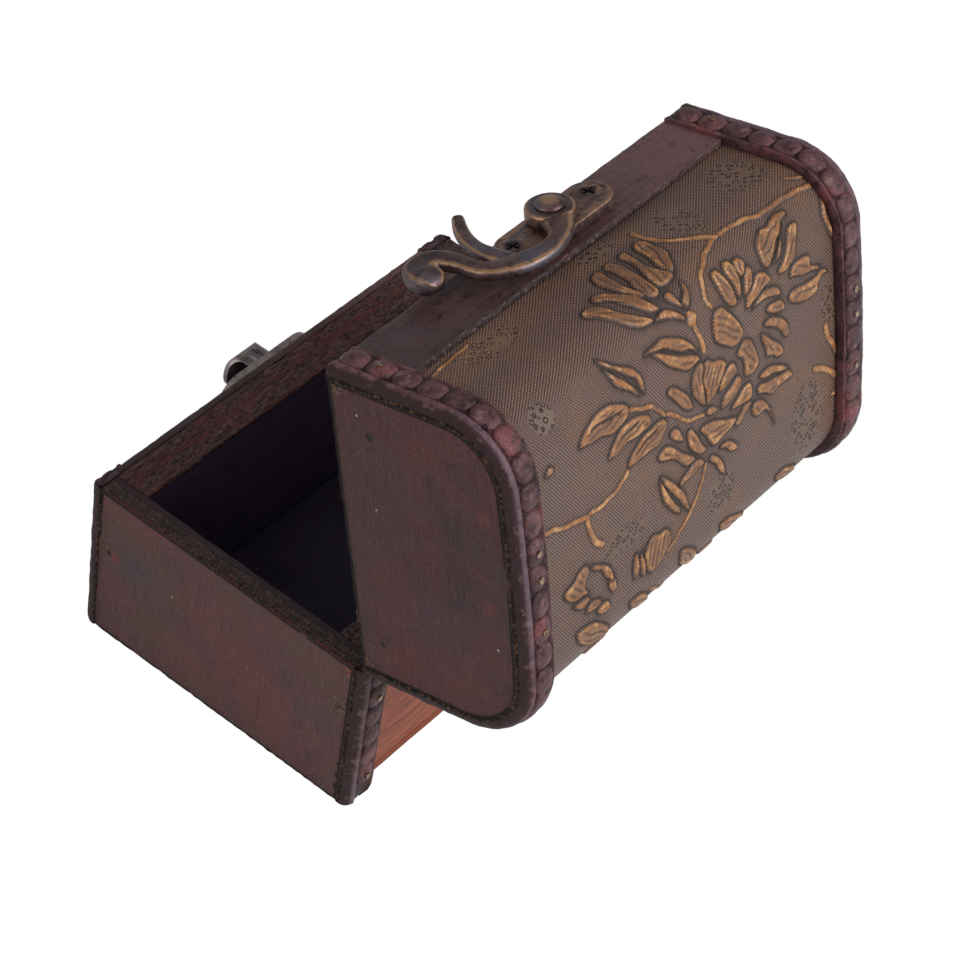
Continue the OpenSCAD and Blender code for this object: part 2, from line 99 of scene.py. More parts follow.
class Finish:
    """A material being mixed: its nodes are added one by one. Colours are given as they look on a screen."""

    def __init__(self, name, roughness=0.5, metallic=0.0, specular=0.5, on_lid=False):
        self.material = bpy.data.materials.new(name)
        self.material.use_nodes = True
        self.nodes = self.material.node_tree.nodes
        self.links = self.material.node_tree.links
        self.surface = self.nodes["Principled BSDF"]
        self.wear(Roughness=roughness, Metallic=metallic, Specular_IOR_Level=specular)
        self.place = self.node("ShaderNodeTexCoord", {}, output="Object")
        if on_lid:
            self.place = self.mapped(turn=(lid_open, 0, 0), shift=shut_shift)

    def feed(self, socket, value):
        """Links a tone to a socket, or sets the socket to a plain value."""
        if isinstance(value, Tone):
            self.links.new(value.socket, socket)
        else:
            socket.default_value = (*shade(*value), 1.0) if socket.type == "RGBA" else value

    def node(self, kind, settings, *values, output=None, **named):
        """Adds a node, sets it, then feeds its sockets by order or by name."""
        added = self.nodes.new(kind)
        for setting, value in settings.items():
            setattr(added, setting, value)
        for key, value in [*enumerate(values), *named.items()]:
            self.feed(added.inputs[key if isinstance(key, int) else key.replace("_", " ")], value)
        live = [socket for socket in added.outputs if socket.enabled]
        return Tone(self, added.outputs[output] if output else live[0])

    def mapped(self, scale=(1, 1, 1), turn=(0, 0, 0), shift=(0, 0, 0)):
        return self.node("ShaderNodeMapping", {}, Vector=self.place, Location=shift, Rotation=turn, Scale=scale)

    def grains(self, scale, detail=3.0, roughness=0.55, distortion=0.0, of=None):
        return self.node("ShaderNodeTexNoise", {}, Vector=of or self.place, Scale=scale,
                         Detail=detail, Roughness=roughness, Distortion=distortion)

    def cells(self, scale, of=None, randomness=1.0):
        return self.node("ShaderNodeTexVoronoi", {"feature": "F1"}, Vector=of or self.place,
                         Scale=scale, Randomness=randomness, output="Distance")

    def axis(self, letter):
        return self.node("ShaderNodeSeparateXYZ", {}, self.place, output=letter)

    def blend(self, low, high, amount):
        """Mixes two colours by an amount from 0 to 1."""
        mixed = self.nodes.new("ShaderNodeMix")
        mixed.data_type = "RGBA"
        for number, value in ((0, amount), (6, low), (7, high)):
            self.feed(mixed.inputs[number], value)
        return Tone(self, mixed.outputs[2])

    def coats(self, colour, *coats):
        """Lays tints over a colour in turn, each given with its amount."""
        for tint, amount in coats:
            colour = self.blend(colour, tint, amount)
        return colour

    def painted(self, name):
        """A value stored on the piece's own points."""
        return self.node("ShaderNodeAttribute", {"attribute_name": name}, output="Fac")

    def wear(self, **inputs):
        """Feeds the inputs of the surface shader."""
        for name, value in inputs.items():
            self.feed(self.surface.inputs[name.replace("_", " ")], value)
        return self

    def spot(self, place, reach, soft=0.5):
        """1 around a place, fading to nothing at its reach."""
        away = self.node("ShaderNodeVectorMath", {"operation": "DISTANCE"}, self.place, place, output="Value")
        return 1 - away.between(reach * (1 - soft), reach)

    def bumped(self, height, distance, strength=1.0):
        return self.node("ShaderNodeBump", {}, Height=height, Distance=distance, Strength=strength)


def lone(name):
    """Names the newly added object and leaves it the only one selected."""
    piece = bpy.context.active_object
    piece.name = name
    piece.data.name = name
    return piece


def nothing_selected():
    bpy.ops.object.select_all(action="DESELECT")


def brightened(tree, seen, plain, bright, output):
    """Shows a plain shader, and a bright one to the rays that are picked out."""
    both = tree.nodes.new("ShaderNodeMixShader")
    for number, source in enumerate((seen, plain.outputs[0], bright.outputs[0])):
        tree.links.new(source, both.inputs[number])
    tree.links.new(both.outputs[0], tree.nodes[output].inputs["Surface"])


nothing_selected()
bpy.ops.mesh.primitive_plane_add(size=6.0, location=(0, 0, -0.0002))
table = lone("table")
table_finish = Finish("white_table", roughness=0.9, specular=0.1)
table_finish.surface.inputs["Base Color"].default_value = (0.7, 0.7, 0.7, 1.0)
rays = table_finish.nodes.new("ShaderNodeLightPath")
glow = table_finish.nodes.new("ShaderNodeEmission")
glow.inputs["Color"].default_value = (1.0, 1.0, 1.0, 1.0)
from_camera, from_gloss = (Tone(table_finish, rays.outputs[kind]) for kind in ("Is Camera Ray", "Is Glossy Ray"))
brightened(table_finish.material.node_tree, from_camera.most(from_gloss * 0.3).socket, table_finish.surface, glow,
           "Material Output")
table.data.materials.append(table_finish.material)

room = bpy.data.worlds.new("room")
bpy.context.scene.world = room
room.use_nodes = True
room_nodes = room.node_tree.nodes
room_light = room_nodes["Background"]
room_light.inputs["Color"].default_value = (1.0, 1.0, 1.0, 1.0)
room_light.inputs["Strength"].default_value = 0.34
room_white = room_nodes.new("ShaderNodeBackground")
room_white.inputs["Strength"].default_value = 1.0
room_rays = room_nodes.new("ShaderNodeLightPath")
brightened(room.node_tree, room_rays.outputs["Is Camera Ray"], room_light, room_white, "World Output")


def lamp(name, place, aim, size, power):
    light = bpy.data.lights.new(name, "AREA")
    light.shape = "RECTANGLE"
    light.size, light.size_y = size
    light.energy = power
    holder = bpy.data.objects.new(name, light)
    bpy.context.collection.objects.link(holder)
    holder.location = place
    holder.rotation_euler = (Vector(aim) - Vector(place)).to_track_quat("-Z", "Y").to_euler()


lamp("window", (-0.25, 0.95, 0.85), (0, 0.03, 0.05), (0.9, 0.7), 15.0)
lamp("fill", (0.95, -0.25, 0.65), (0, 0, 0.04), (0.8, 0.8), 4.0)

# Boards of the box: plywood sawn to size, butted and glued, then stained a
# dark red-brown all over. Their sawn edges have frayed and drunk more stain.
base_height = 0.0362
lid_rim = 0.0365
half_length = 0.049
half_depth = 0.030
inner_half = 0.0445      # inner faces of the end panels
inner_face = 0.0225      # inner faces of the front and back walls
floor_top = 0.002
trim_inner = 0.0421      # inner edges of the trims
rail_face = 0.0315
rail_height = 0.0125
swing = (Matrix.Translation(hinge_axis) @ Matrix.Rotation(-lid_open, 4, "X") @ Matrix.Translation(-hinge_axis))


def smooth(piece, angle):
    nothing_selected()
    piece.select_set(True)
    bpy.context.view_layer.objects.active = piece
    bpy.ops.object.shade_smooth_by_angle(angle=math.radians(angle))


def finished(piece, body, finish, replaced=(), on_lid=False, angle=35):
    """Last steps of every piece: finish, shading, place, body and the solids it stands for.
    A piece of the lid is modelled on the shut lid and turned to where the open lid is."""
    piece.data.materials.clear()
    piece.data.materials.append(finish.material)
    smooth(piece, angle)
    piece.data.transform((swing if on_lid else Matrix.Identity(4)) @ piece.matrix_world)
    piece.matrix_world = Matrix.Identity(4)
    piece.data.update()
    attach(piece, body)
    if replaced:
        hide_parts(*replaced)


def fray(piece, amount, size, edge):
    """Moves points a little by smooth noise, as sawing, glue and handling leave wood."""
    for point in piece.data.vertices:
        place = piece.matrix_world @ point.co
        point.co += noise.noise_vector(place / size) * amount * edge(point.co)


def note_on_points(piece, name, values):
    """Stores one number for each point of a piece, listed or measured at the point, for its finish to read."""
    if callable(values):
        values = [values(point.co) for point in piece.data.vertices]
    layer = piece.data.attributes.new(name, "FLOAT", "POINT")
    layer.data.foreach_set("value", [float(value) for value in values])


def edge_nearness(low, high, reach):
    """A measure that is 1 along the edges of a block and falls to nothing at a reach from them."""
    middle, half = (Vector(low) + Vector(high)) / 2, (Vector(high) - Vector(low)) / 2

    def nearness(point):
        depths = sorted(half[axis] - abs(point[axis] - middle[axis]) for axis in range(3))
        return max(0.0, 1.0 - depths[1] / reach)

    return nearness


def board(name, low, high, cell, ease, fraying):
    """A sawn board: a block cut into cells, its edges eased and frayed."""
    nothing_selected()
    low, high = Vector(low), Vector(high)
    bpy.ops.mesh.primitive_cube_add(size=1.0, location=(low + high) / 2)
    piece = lone(name)
    piece.scale = high - low
    bpy.ops.object.transform_apply(location=True, scale=True)
    bpy.ops.object.mode_set(mode="EDIT")
    bpy.ops.mesh.select_all(action="SELECT")
    bpy.ops.mesh.bevel(offset=ease, segments=2, affect="EDGES")
    bpy.ops.object.mode_set(mode="OBJECT")
    for axis in range(3):
        steps = int((high[axis] - low[axis]) / cell)
        for step in range(1, steps):
            bpy.ops.object.mode_set(mode="EDIT")
            bpy.ops.mesh.select_all(action="SELECT")
            where, across = [0.0, 0.0, 0.0], [0.0, 0.0, 0.0]
            where[axis] = low[axis] + (high[axis] - low[axis]) * step / steps
            across[axis] = 1.0
            bpy.ops.mesh.bisect(plane_co=where, plane_no=across)
            bpy.ops.object.mode_set(mode="OBJECT")
    near_edge = edge_nearness(low, high, 0.0012)
    fray(piece, fraying, 0.0022, near_edge)
    fray(piece, fraying * 1.3, 0.0008, near_edge)
    return piece


soot = (12.9307, 6.5892, 9.8838)      # grime in the grain, near black


def stained_wood(name, red, dark, patch, along="Y", gloss=0.46, on_lid=False, rim=None, dirt=1.0,
                 holes=(), stains=(), crumbled=()):
    """Stained plywood: soft clouds of three browns, faint grain, grit, dust, rubbed and chipped edges.
    Its stains, crumbled corners and holes are given by place and reach; rim is the height of a sawn rim."""
    wood = Finish(name, gloss, specular=0.27, on_lid=on_lid)
    stretch = {"X": (30, 420, 420), "Y": (420, 30, 420), "Z": (420, 420, 30)}[along]
    grain = wood.grains(6.0, 4.0, 0.6, 0.4, of=wood.mapped(stretch))
    clouds = wood.grains(70.0, 5.0, 0.6, 0.6)
    bloom = wood.grains(42.0, 4.0, 0.55, 0.4, of=wood.mapped(shift=(0.7, 0.2, 0.4)))
    stipple = wood.grains(560.0, 4.0, 0.72)
    grit = wood.grains(2400.0, 3.0, 0.65)
    colour = wood.coats(
        wood.blend(dark, red, (clouds * 0.8 + stipple * 0.2).between(0.38, 0.62)),
        (patch, (bloom * 0.85 + stipple * 0.15).between(0.47, 0.62) * 0.8),
        *[(tint, wood.spot(place, reach, 0.9) * (clouds * 0.6 + stipple * 0.4).between(0.36, 0.60) * 0.7)
          for place, reach, tint in stains],
        (soot, (grain * 0.5 + grit * 0.5).between(0.52, 0.66) * 0.55 * dirt),
        ((140, 106, 104), (1 - (grain * 0.4 + grit * 0.6).between(0.34, 0.47)) * 0.24 * dirt))
    edge = wood.painted("edge")
    chips = (edge * 1.2 + stipple * 0.9 + clouds * 0.6).between(1.40, 1.72)
    crumb = wood.blend(wood.blend((30, 20, 18), (118, 84, 66), grit.between(0.42, 0.60)),
                       (132, 66, 48), clouds.between(0.60, 0.66) * 0.6)
    for place, reach in crumbled:
        chips = chips.most((wood.spot(place, reach, 0.8) * 1.1 + stipple * 0.9 + clouds * 0.3).between(1.05, 1.25))
    # Painted shade: a near-black line just inside the board's edges, where the crack along a trim falls dark, and
    # near-black spots at the holes
    crack_shade = edge.between(0.30, 0.46) * (1 - edge.between(0.84, 0.94)) * clouds.between(0.42, 0.50)
    for place, reach in holes:
        crack_shade = crack_shade.most(wood.spot(place, reach, 0.35))
    colour = wood.coats(colour, (crumb, chips * 0.9), ((10, 7, 7), crack_shade * 0.92))
    height = grain * 0.5 + stipple * 0.5 + grit * (0.7 + edge * 0.8) + bloom * 2.0 - crack_shade * 1.2 + chips * stipple * 1.5
    if rim:
        on_rim = wood.axis("Z").between(rim - 0.00045, rim - 0.00012)
        across = abs(wood.axis("X")) + (stipple - 0.5) * 0.0012
        seam_line = 0.85 * across.between(0.04725, 0.0474) * (1 - across.between(0.0475, 0.0477))
        fluff = across.between(0.0457, 0.0462) * (1 - seam_line)
        pepper = wood.grains(4200.0, 2.0, 0.7)
        sawn = wood.blend((10, 8, 9), (130, 100, 94), (pepper * 0.75 + stipple * 0.25).between(0.46, 0.62))
        sawn = wood.coats((64, 46, 50), (sawn, fluff),
                          ((120, 54, 46), across.between(0.0484, 0.0489) * clouds.between(0.50, 0.58) * 0.7))
        colour = wood.blend(colour, sawn, on_rim * 0.95)
        height = height + on_rim * fluff * (stipple * 1.5 + pepper * 1.5)
    if rim or on_lid:
        outside = abs(wood.axis("X")).between(0.0446, 0.0449)
        colour = wood.blend(wood.blend((34, 28, 40), (54, 42, 60), clouds), colour, outside)
    dust = 1 - wood.cells(150.0).between(0.026, 0.040)
    wood.wear(Base_Color=wood.blend(colour, (196, 184, 182), dust * 0.75 * dirt),
              Roughness=gloss + stipple * 0.16 + grit * 0.14 + edge * 0.25 - bloom * 0.14,
              Normal=wood.bumped(height, 0.00034, 1.0))
    return wood


panel_wood = stained_wood(
    "stained_end_panel", (98, 55, 55), (76, 51, 56), (84, 58, 52), along="Z", rim=base_height,
    stains=(((0.049, -0.021, 0.021), 0.0095, (62, 56, 66)), ((0.049, -0.0265, 0.013), 0.0085, (102, 50, 58)),
            ((0.049, -0.0255, 0.0215), 0.0022, (126, 58, 54)), ((0.049, 0.012, 0.010), 0.010, (102, 54, 54)),
            ((0.049, 0.024, 0.018), 0.007, (74, 56, 58))),
    crumbled=(((0.049, 0.0272, 0.0245), 0.0035), ((0.049, -0.0278, 0.0225), 0.0018), ((0.049, 0.0285, 0.0345), 0.003)),
    holes=(((0.049, 0.0296, 0.004), 0.0012), ((0.049, 0.0296, 0.007), 0.0011), ((0.049, 0.0296, 0.010), 0.0010),
           ((0.049, -0.0270, 0.0215), 0.0006)))
lid_panel_wood = stained_wood(
    "stained_lid_end", (84, 42, 42), (60, 37, 41), (66, 44, 41), along="Y", on_lid=True,
    stains=(((0.049, -0.003, 0.066), 0.0045, (112, 46, 42)), ((0.049, 0.004, 0.067), 0.003, (104, 46, 42)),
            ((0.049, -0.014, 0.067), 0.0025, (112, 48, 45)), ((0.049, 0.012, 0.055), 0.012, (64, 46, 54))),
    crumbled=(((0.049, 0.0290, 0.0375), 0.0030), ((0.049, -0.0285, 0.0385), 0.0022), ((0.049, 0.0235, 0.0370), 0.0016)),
    holes=(((0.049, -0.0212, 0.0446), 0.0008), ((0.049, 0.0225, 0.0420), 0.0006)))
wall_wood = stained_wood("stained_wall", (52, 40, 58), (38, 30, 44), (44, 36, 50), along="X", gloss=0.6, dirt=0.3)
dark_inside = stained_wood("dark_inside", (66, 52, 72), (48, 38, 56), (56, 46, 62), along="X", gloss=0.6, dirt=0.3)
floor_wood = stained_wood("stained_floor", (58, 46, 68), (46, 37, 54), (52, 42, 60), along="X", gloss=0.6, dirt=0.3)
floor_colour = Tone(floor_wood, floor_wood.surface.inputs["Base Color"].links[0].from_socket)
floor_wood.wear(Base_Color=floor_wood.blend(floor_colour, (132, 68, 46), floor_wood.axis("Y").between(0.0293, 0.0296)))


def panel(name, low, high, cell=0.0011):
    """A board that notes how near its points are to its edges, for chipped and rubbed stain."""
    piece = board(name, low, high, cell, 0.0004, 0.00013)
    note_on_points(piece, "edge", edge_nearness(low, high, 0.0014))
    return piece


for side, name in ((1, "base_end_right"), (-1, "base_end_left")):
    ends = sorted((side * inner_half, side * half_length))
    piece = panel(name + "_panel", (ends[0], -half_depth, 0.0), (ends[1], half_depth, base_height))
    finished(piece, "base", panel_wood, [name])

# The two long walls of the base are thicker plywood. Their sawn rims were never
# filled: rough dark fibres with a redder ply in the middle.
rim_wood = Finish("sawn_plywood_rim", roughness=0.72, specular=0.3)
fibres = rim_wood.grains(5.0, 5.0, 0.7, 0.8, of=rim_wood.mapped((90, 700, 90)))
crumbs = rim_wood.grains(1500.0, 4.0, 0.75)
from_middle = abs(rim_wood.axis("Y"))
middle_ply = 1 - abs(from_middle - 0.0268).between(0.0004, 0.0010)
outer_glue = 1 - abs(from_middle - 0.0292).between(0.0002, 0.0008)
streaks = rim_wood.grains(4.0, 3.0, 0.6, 0.5, of=rim_wood.mapped((26, 330, 90)))
tangle = fibres * 0.65 + crumbs * 0.35
rim_colour = rim_wood.coats(
    rim_wood.blend((24, 15, 18), (118, 86, 82), tangle.between(0.42, 0.62)),
    ((104, 46, 48), streaks.between(0.50, 0.60) * tangle.between(0.36, 0.52) * 0.75),
    ((98, 46, 46), middle_ply * tangle.between(0.40, 0.56) * 0.7),
    ((92, 66, 50), outer_glue * crumbs.between(0.50, 0.66) * 0.7),
    ((20, 14, 14), 1 - tangle.between(0.34, 0.46)))
on_rim = rim_wood.axis("Z").between(0.0352, 0.0357)
side_grain = rim_wood.grains(6.0, 5.0, 0.6, 0.5, of=rim_wood.mapped((18, 260, 260)))
side_colour = rim_wood.blend((78, 66, 88), (96, 80, 104), side_grain.between(0.40, 0.65))
rim_wood.wear(Base_Color=rim_wood.blend(side_colour, rim_colour, on_rim), Roughness=0.55 + crumbs * 0.3,
              Normal=rim_wood.bumped(fibres * 1.0 + crumbs * on_rim * 0.7, 0.0004, 1.0))


def rough_top(point):
    """1 on the sawn rim of the base, falling to nothing below it."""
    return max(0.0, 1.0 - (base_height - point.z) / 0.0011)


front_wall = panel("base_front_wall_board", (-inner_half, -half_depth, floor_top),
                   (inner_half, -inner_face, base_height), 0.0012)
fray(front_wall, 0.00022, 0.0009, rough_top)
finished(front_wall, "base", rim_wood, ["base_front_wall"])


# The back wall was left a lighter red: only a thin stain over its open grain.
def thin_stain(name, on_lid=False):
    back = Finish(name, roughness=0.42, specular=0.32, on_lid=on_lid)
    grain = back.grains(5.0, 6.0, 0.65, 0.7, of=back.mapped((16, 300, 330)))
    pores = back.grains(9.0, 3.0, 0.6, 0.2, of=back.mapped((22, 420, 460)))
    cloud = back.grains(60.0, 3.0, 0.6)
    inside = 1 - back.axis("Y").between(0.0268, 0.0280)
    crumbs = back.grains(1500.0, 4.0, 0.75)
    height = back.axis("Z")
    sawn = 1 - height.between(0.0368, 0.0372) if on_lid else height.between(0.0352, 0.0357)
    colour = back.coats(
        back.blend((118, 54, 36), (160, 86, 58), grain.between(0.36, 0.66)),
        ((104, 52, 42), cloud.between(0.50, 0.75) * 0.5),
        ((62, 26, 22), pores.between(0.55, 0.66) * 0.85),
        (back.blend((50, 40, 58), (68, 52, 70), grain), inside),
        (back.blend((26, 18, 18), (104, 74, 64), crumbs.between(0.44, 0.62)), sawn * 0.9))
    return back.wear(Base_Color=colour, Roughness=0.40 + grain * 0.15 + sawn * 0.25,
                     Normal=back.bumped(grain * 0.5 - pores + sawn * crumbs * 2.0, 0.00025, 0.8))


back_wood = thin_stain("thinly_stained_back")
lid_back_wood = thin_stain("thinly_stained_lid_back", on_lid=True)
back_wall = panel("base_back_wall_board", (-inner_half, inner_face, floor_top),
                  (inner_half, half_depth, base_height), 0.0012)
fray(back_wall, 0.00018, 0.0009, rough_top)
finished(back_wall, "base", back_wood, ["base_back_wall"])

floor_board = board("base_floor_board", (-inner_half, -half_depth, 0.0), (inner_half, half_depth, floor_top), 0.004,
                    0.0002, 0.0001)
note_on_points(floor_board, "edge", lambda point: 0.0)
finished(floor_board, "base", floor_wood, ["base_floor"])

# The lid's boards: two end panels sawn to the domed outline, a front and a
# back wall, and a thin board bent over them. Inside they are near black.
lid_height = 0.0351
front_corner = 0.0105
back_corner = 0.0126
crown_radius = 0.440
crown_z = lid_height - crown_radius
front_y = -half_depth + front_corner
back_y = half_depth - back_corner
front_tilt = math.asin(-front_y / (crown_radius - front_corner))
back_tilt = math.asin(back_y / (crown_radius - back_corner))
front_spring = crown_z + (crown_radius - front_corner) * math.cos(front_tilt)
back_spring = crown_z + (crown_radius - back_corner) * math.cos(back_tilt)


def lid_stretches(out):
    """Length of the five stretches of the way over the lid, measured that far outside it."""
    return (front_spring, (front_corner + out) * (math.pi / 2 - front_tilt),
            (crown_radius + out) * (front_tilt + back_tilt), (back_corner + out) * (math.pi / 2 - back_tilt),
            back_spring)


def lid_point(distance, rise, out=0.0):
    """The point (y, z) on the shut lid at a distance from its front rim, measured that far outside it."""
    stretches = lid_stretches(out)
    for step, stretch in enumerate(stretches):
        if distance <= stretch or step == 4:
            break
        distance -= stretch
    if step == 0:
        return Vector((-half_depth - rise, lid_rim + distance))
    if step == 4:
        return Vector((half_depth + rise, lid_rim + back_spring - distance))
    centre, radius, start = (((front_y, front_spring), front_corner, math.pi),
                             ((0.0, crown_z), crown_radius, math.pi / 2 + front_tilt),
                             ((back_y, back_spring), back_corner, math.pi / 2 - back_tilt))[step - 1]
    facing = start - distance / (radius + out)
    reach = radius + rise
    return Vector((centre[0] + reach * math.cos(facing), lid_rim + centre[1] + reach * math.sin(facing)))


def loft(name, rings, **marks):
    """A skin through closed rings of points: a grid is laid along them, joined up and capped.
    Each mark gives one number for each point of each ring, kept on the piece under its name."""
    nothing_selected()
    around, along = len(rings[0]), len(rings)
    bpy.ops.mesh.primitive_grid_add(x_subdivisions=around, y_subdivisions=along - 1, size=1.0)
    piece = lone(name)
    rows = [list(ring) + [ring[0]] for ring in rings]
    piece.data.vertices.foreach_set("co", [value for row in rows for point in row for value in point])
    for label, values in marks.items():
        note_on_points(piece, label, [value for row in values for value in list(row) + [row[0]]])
    bpy.ops.object.mode_set(mode="EDIT")
    bpy.ops.mesh.select_all(action="SELECT")
    bpy.ops.mesh.remove_doubles(threshold=1e-7)
    bpy.ops.mesh.select_all(action="DESELECT")
    bpy.ops.mesh.select_mode(type="EDGE")
    bpy.ops.mesh.select_non_manifold(extend=False, use_wire=False, use_multi_face=False, use_verts=False)
    bpy.ops.mesh.edge_face_add()
    bpy.ops.mesh.select_all(action="SELECT")
    bpy.ops.mesh.normals_make_consistent(inside=False)
    bpy.ops.mesh.select_mode(type="VERT")
    bpy.ops.object.mode_set(mode="OBJECT")
    return piece


def joined(name, pieces):
    nothing_selected()
    for piece in pieces:
        piece.select_set(True)
    bpy.context.view_layer.objects.active = pieces[0]
    bpy.ops.object.join()
    return lone(name)


def dome_ring(x, inset):
    """The domed outline of the lid's ends, pulled in by a distance, as a ring of points."""
    stretches = lid_stretches(0.0)
    ring = []
    for stretch, count in enumerate((16, 18, 30, 18, 16)):
        length = stretches[stretch]
        for step in range(count):
            distance = length * step / count
            if stretch == 0:
                distance = inset + (length - inset) * step / count
            if stretch == 4:
                distance = (length - inset) * step / count
            place = lid_point(sum(stretches[:stretch]) + distance + 1e-9, -inset)
            ring.append((x, place.x, place.y))
    return ring + [(x, (half_depth - inset) * (1 - step / 20), lid_rim + inset) for step in range(40)]


def depth_in_dome(point):
    """How far a point of an end panel lies inside the panel's outline."""
    y, z = point.y, point.z - lid_rim
    depths = [z, half_depth - abs(y)]
    if y < front_y and z > front_spring:
        depths.append(front_corner - math.hypot(y - front_y, z - front_spring))
    elif y > back_y and z > back_spring:
        depths.append(back_corner - math.hypot(y - back_y, z - back_spring))
    else:
        depths.append(crown_radius - math.hypot(y, z - crown_z))
    return min(depths)


def near_outline(point):
    """1 at the outline of an end panel, falling to nothing inside it."""
    return max(0.0, 1.0 - depth_in_dome(point) / 0.0012)


for side, name in ((1, "lid_end_right"), (-1, "lid_end_left")):
    inner, outer = side * inner_half, side * half_length
    rings = [dome_ring(inner, inset) for inset in (0.0030, 0.0015, 0.0006, 0.0002)]
    rings += [dome_ring(inner + (outer - inner) * part, 0.0) for part in (0.06, 0.2, 0.35, 0.5, 0.65, 0.8, 0.94)]
    rings += [dome_ring(outer, inset) for inset in (0.0002, 0.0005, 0.0009, 0.0014, 0.0022, 0.0034, 0.0050)]
    piece = loft(name + "_panel", rings)
    fray(piece, 0.00013, 0.0020, near_outline)
    fray(piece, 0.00018, 0.0008, near_outline)
    note_on_points(piece, "edge", lambda point: max(0.0, 1.0 - max(0.0, depth_in_dome(point)) / 0.0015))
    finished(piece, "lid", lid_panel_wood, [name], on_lid=True)

for name, slot, finish, near, far, spring in (
        ("lid_front_wall", "stained_wood", wall_wood, -half_depth, -inner_face, front_spring),
        ("lid_back_wall", "bare_wood", lid_back_wood, inner_face, half_depth, back_spring)):
    piece = panel(name + "_board", (-inner_half, near, lid_rim), (inner_half, far, lid_rim + spring), 0.0016)
    finished(piece, "lid", finish, [name], on_lid=True)

bent = []
bent_length = sum(lid_stretches(0.0)[:4]) - front_spring
for x in [inner_half * (step / 12 - 1) for step in range(25)]:
    over, under = ([lid_point(front_spring + bent_length * step / 60, rise) for step in range(61)]
                   for rise in (0.0, -0.0025))
    bent.append([(x, place.x, place.y) for place in over + under[::-1]])
top_board = loft("lid_top_board_bent", bent)
note_on_points(top_board, "edge", lambda point: 0.0)
finished(top_board, "lid", dark_inside, ["lid_top_board"], on_lid=True)

# Rails along the opening: thin planed strips glued to the lid's and the base's
# front, smooth and redder than the panels, frayed grey where the cover meets them.
rail_wood = Finish("smooth_rail", roughness=0.36, specular=0.4)
rail_grain = rail_wood.grains(5.0, 5.0, 0.6, 0.5, of=rail_wood.mapped((14, 240, 240)))
rail_cloud = rail_wood.grains(60.0, 4.0, 0.6)
rail_fuzz = rail_wood.grains(1400.0, 3.0, 0.7)
rail_stipple = rail_wood.grains(560.0, 4.0, 0.7)
rail_edge = rail_wood.painted("edge")
rail_x = rail_wood.axis("X")
rubbed_grey = rail_wood.blend((24, 17, 17), (104, 88, 84), rail_fuzz.between(0.50, 0.66))
rail_colour = rail_wood.coats(
    rail_wood.blend((50, 34, 35), (86, 56, 56), (rail_grain * 0.6 + rail_stipple * 0.4).between(0.38, 0.64)),
    ((74, 58, 62), rail_cloud.between(0.50, 0.70) * 0.7),
    # Painted highlight toward the left end of the rail and painted shade toward its right end, nearer the eye
    ((106, 72, 74), (0 - rail_x).between(-0.005, 0.045) * 0.6),
    ((46, 30, 33), rail_x.between(0.005, 0.045) * 0.55),
    ((26, 16, 17), (1 - rail_stipple.between(0.34, 0.45)) * 0.5),
    (rubbed_grey, (rail_edge * 1.3 + rail_fuzz * 0.9).between(1.40, 1.72) * 0.75))
rail_height_map = rail_grain * 0.5 + rail_stipple * 0.6 + rail_fuzz * (0.2 + rail_edge * 1.5)
rail_wood.wear(Base_Color=rail_colour, Roughness=0.34 + rail_fuzz * 0.14 + rail_edge * 0.3,
               Normal=rail_wood.bumped(rail_height_map, 0.00026, 0.8))


def rail(name, low_z, high_z, frayed_z):
    piece = board(name, (-trim_inner, -rail_face, low_z), (trim_inner, -half_depth, high_z), 0.0011, 0.00025, 0.00008)
    toward = 1 if frayed_z > (low_z + high_z) / 2 else -1
    for point in piece.data.vertices:
        x, y, z = point.co
        if abs(z - frayed_z) < 0.0004 and y < -0.0304:
            wave = noise.noise((x * 900, y * 400, 3.0)) + 0.6 * noise.noise((x * 2600, 0, 7))
            point.co.z -= toward * 0.00022 * abs(wave)
            point.co.y += 0.00018 * wave
    note_on_points(piece, "edge", lambda point: max(0.0, 1.0 - abs(point.z - frayed_z) / 0.0009)
                   * (1.0 if point.y < -0.0302 else 0.0))
    return piece


finished(rail("base_front_rail_strip", 0.0237, base_height, 0.0237), "base", rail_wood,
         ["base_front_rail"])
finished(rail("lid_front_rail_strip", lid_rim, lid_rim + rail_height, lid_rim + rail_height), "lid",
         rail_wood, ["lid_front_rail"], on_lid=True)

# The embossed cover: imitation leather with a fine woven grain, pressed with
# flowers, leaves, vines and beds of tiny rings; the raised parts are rubbed gold.

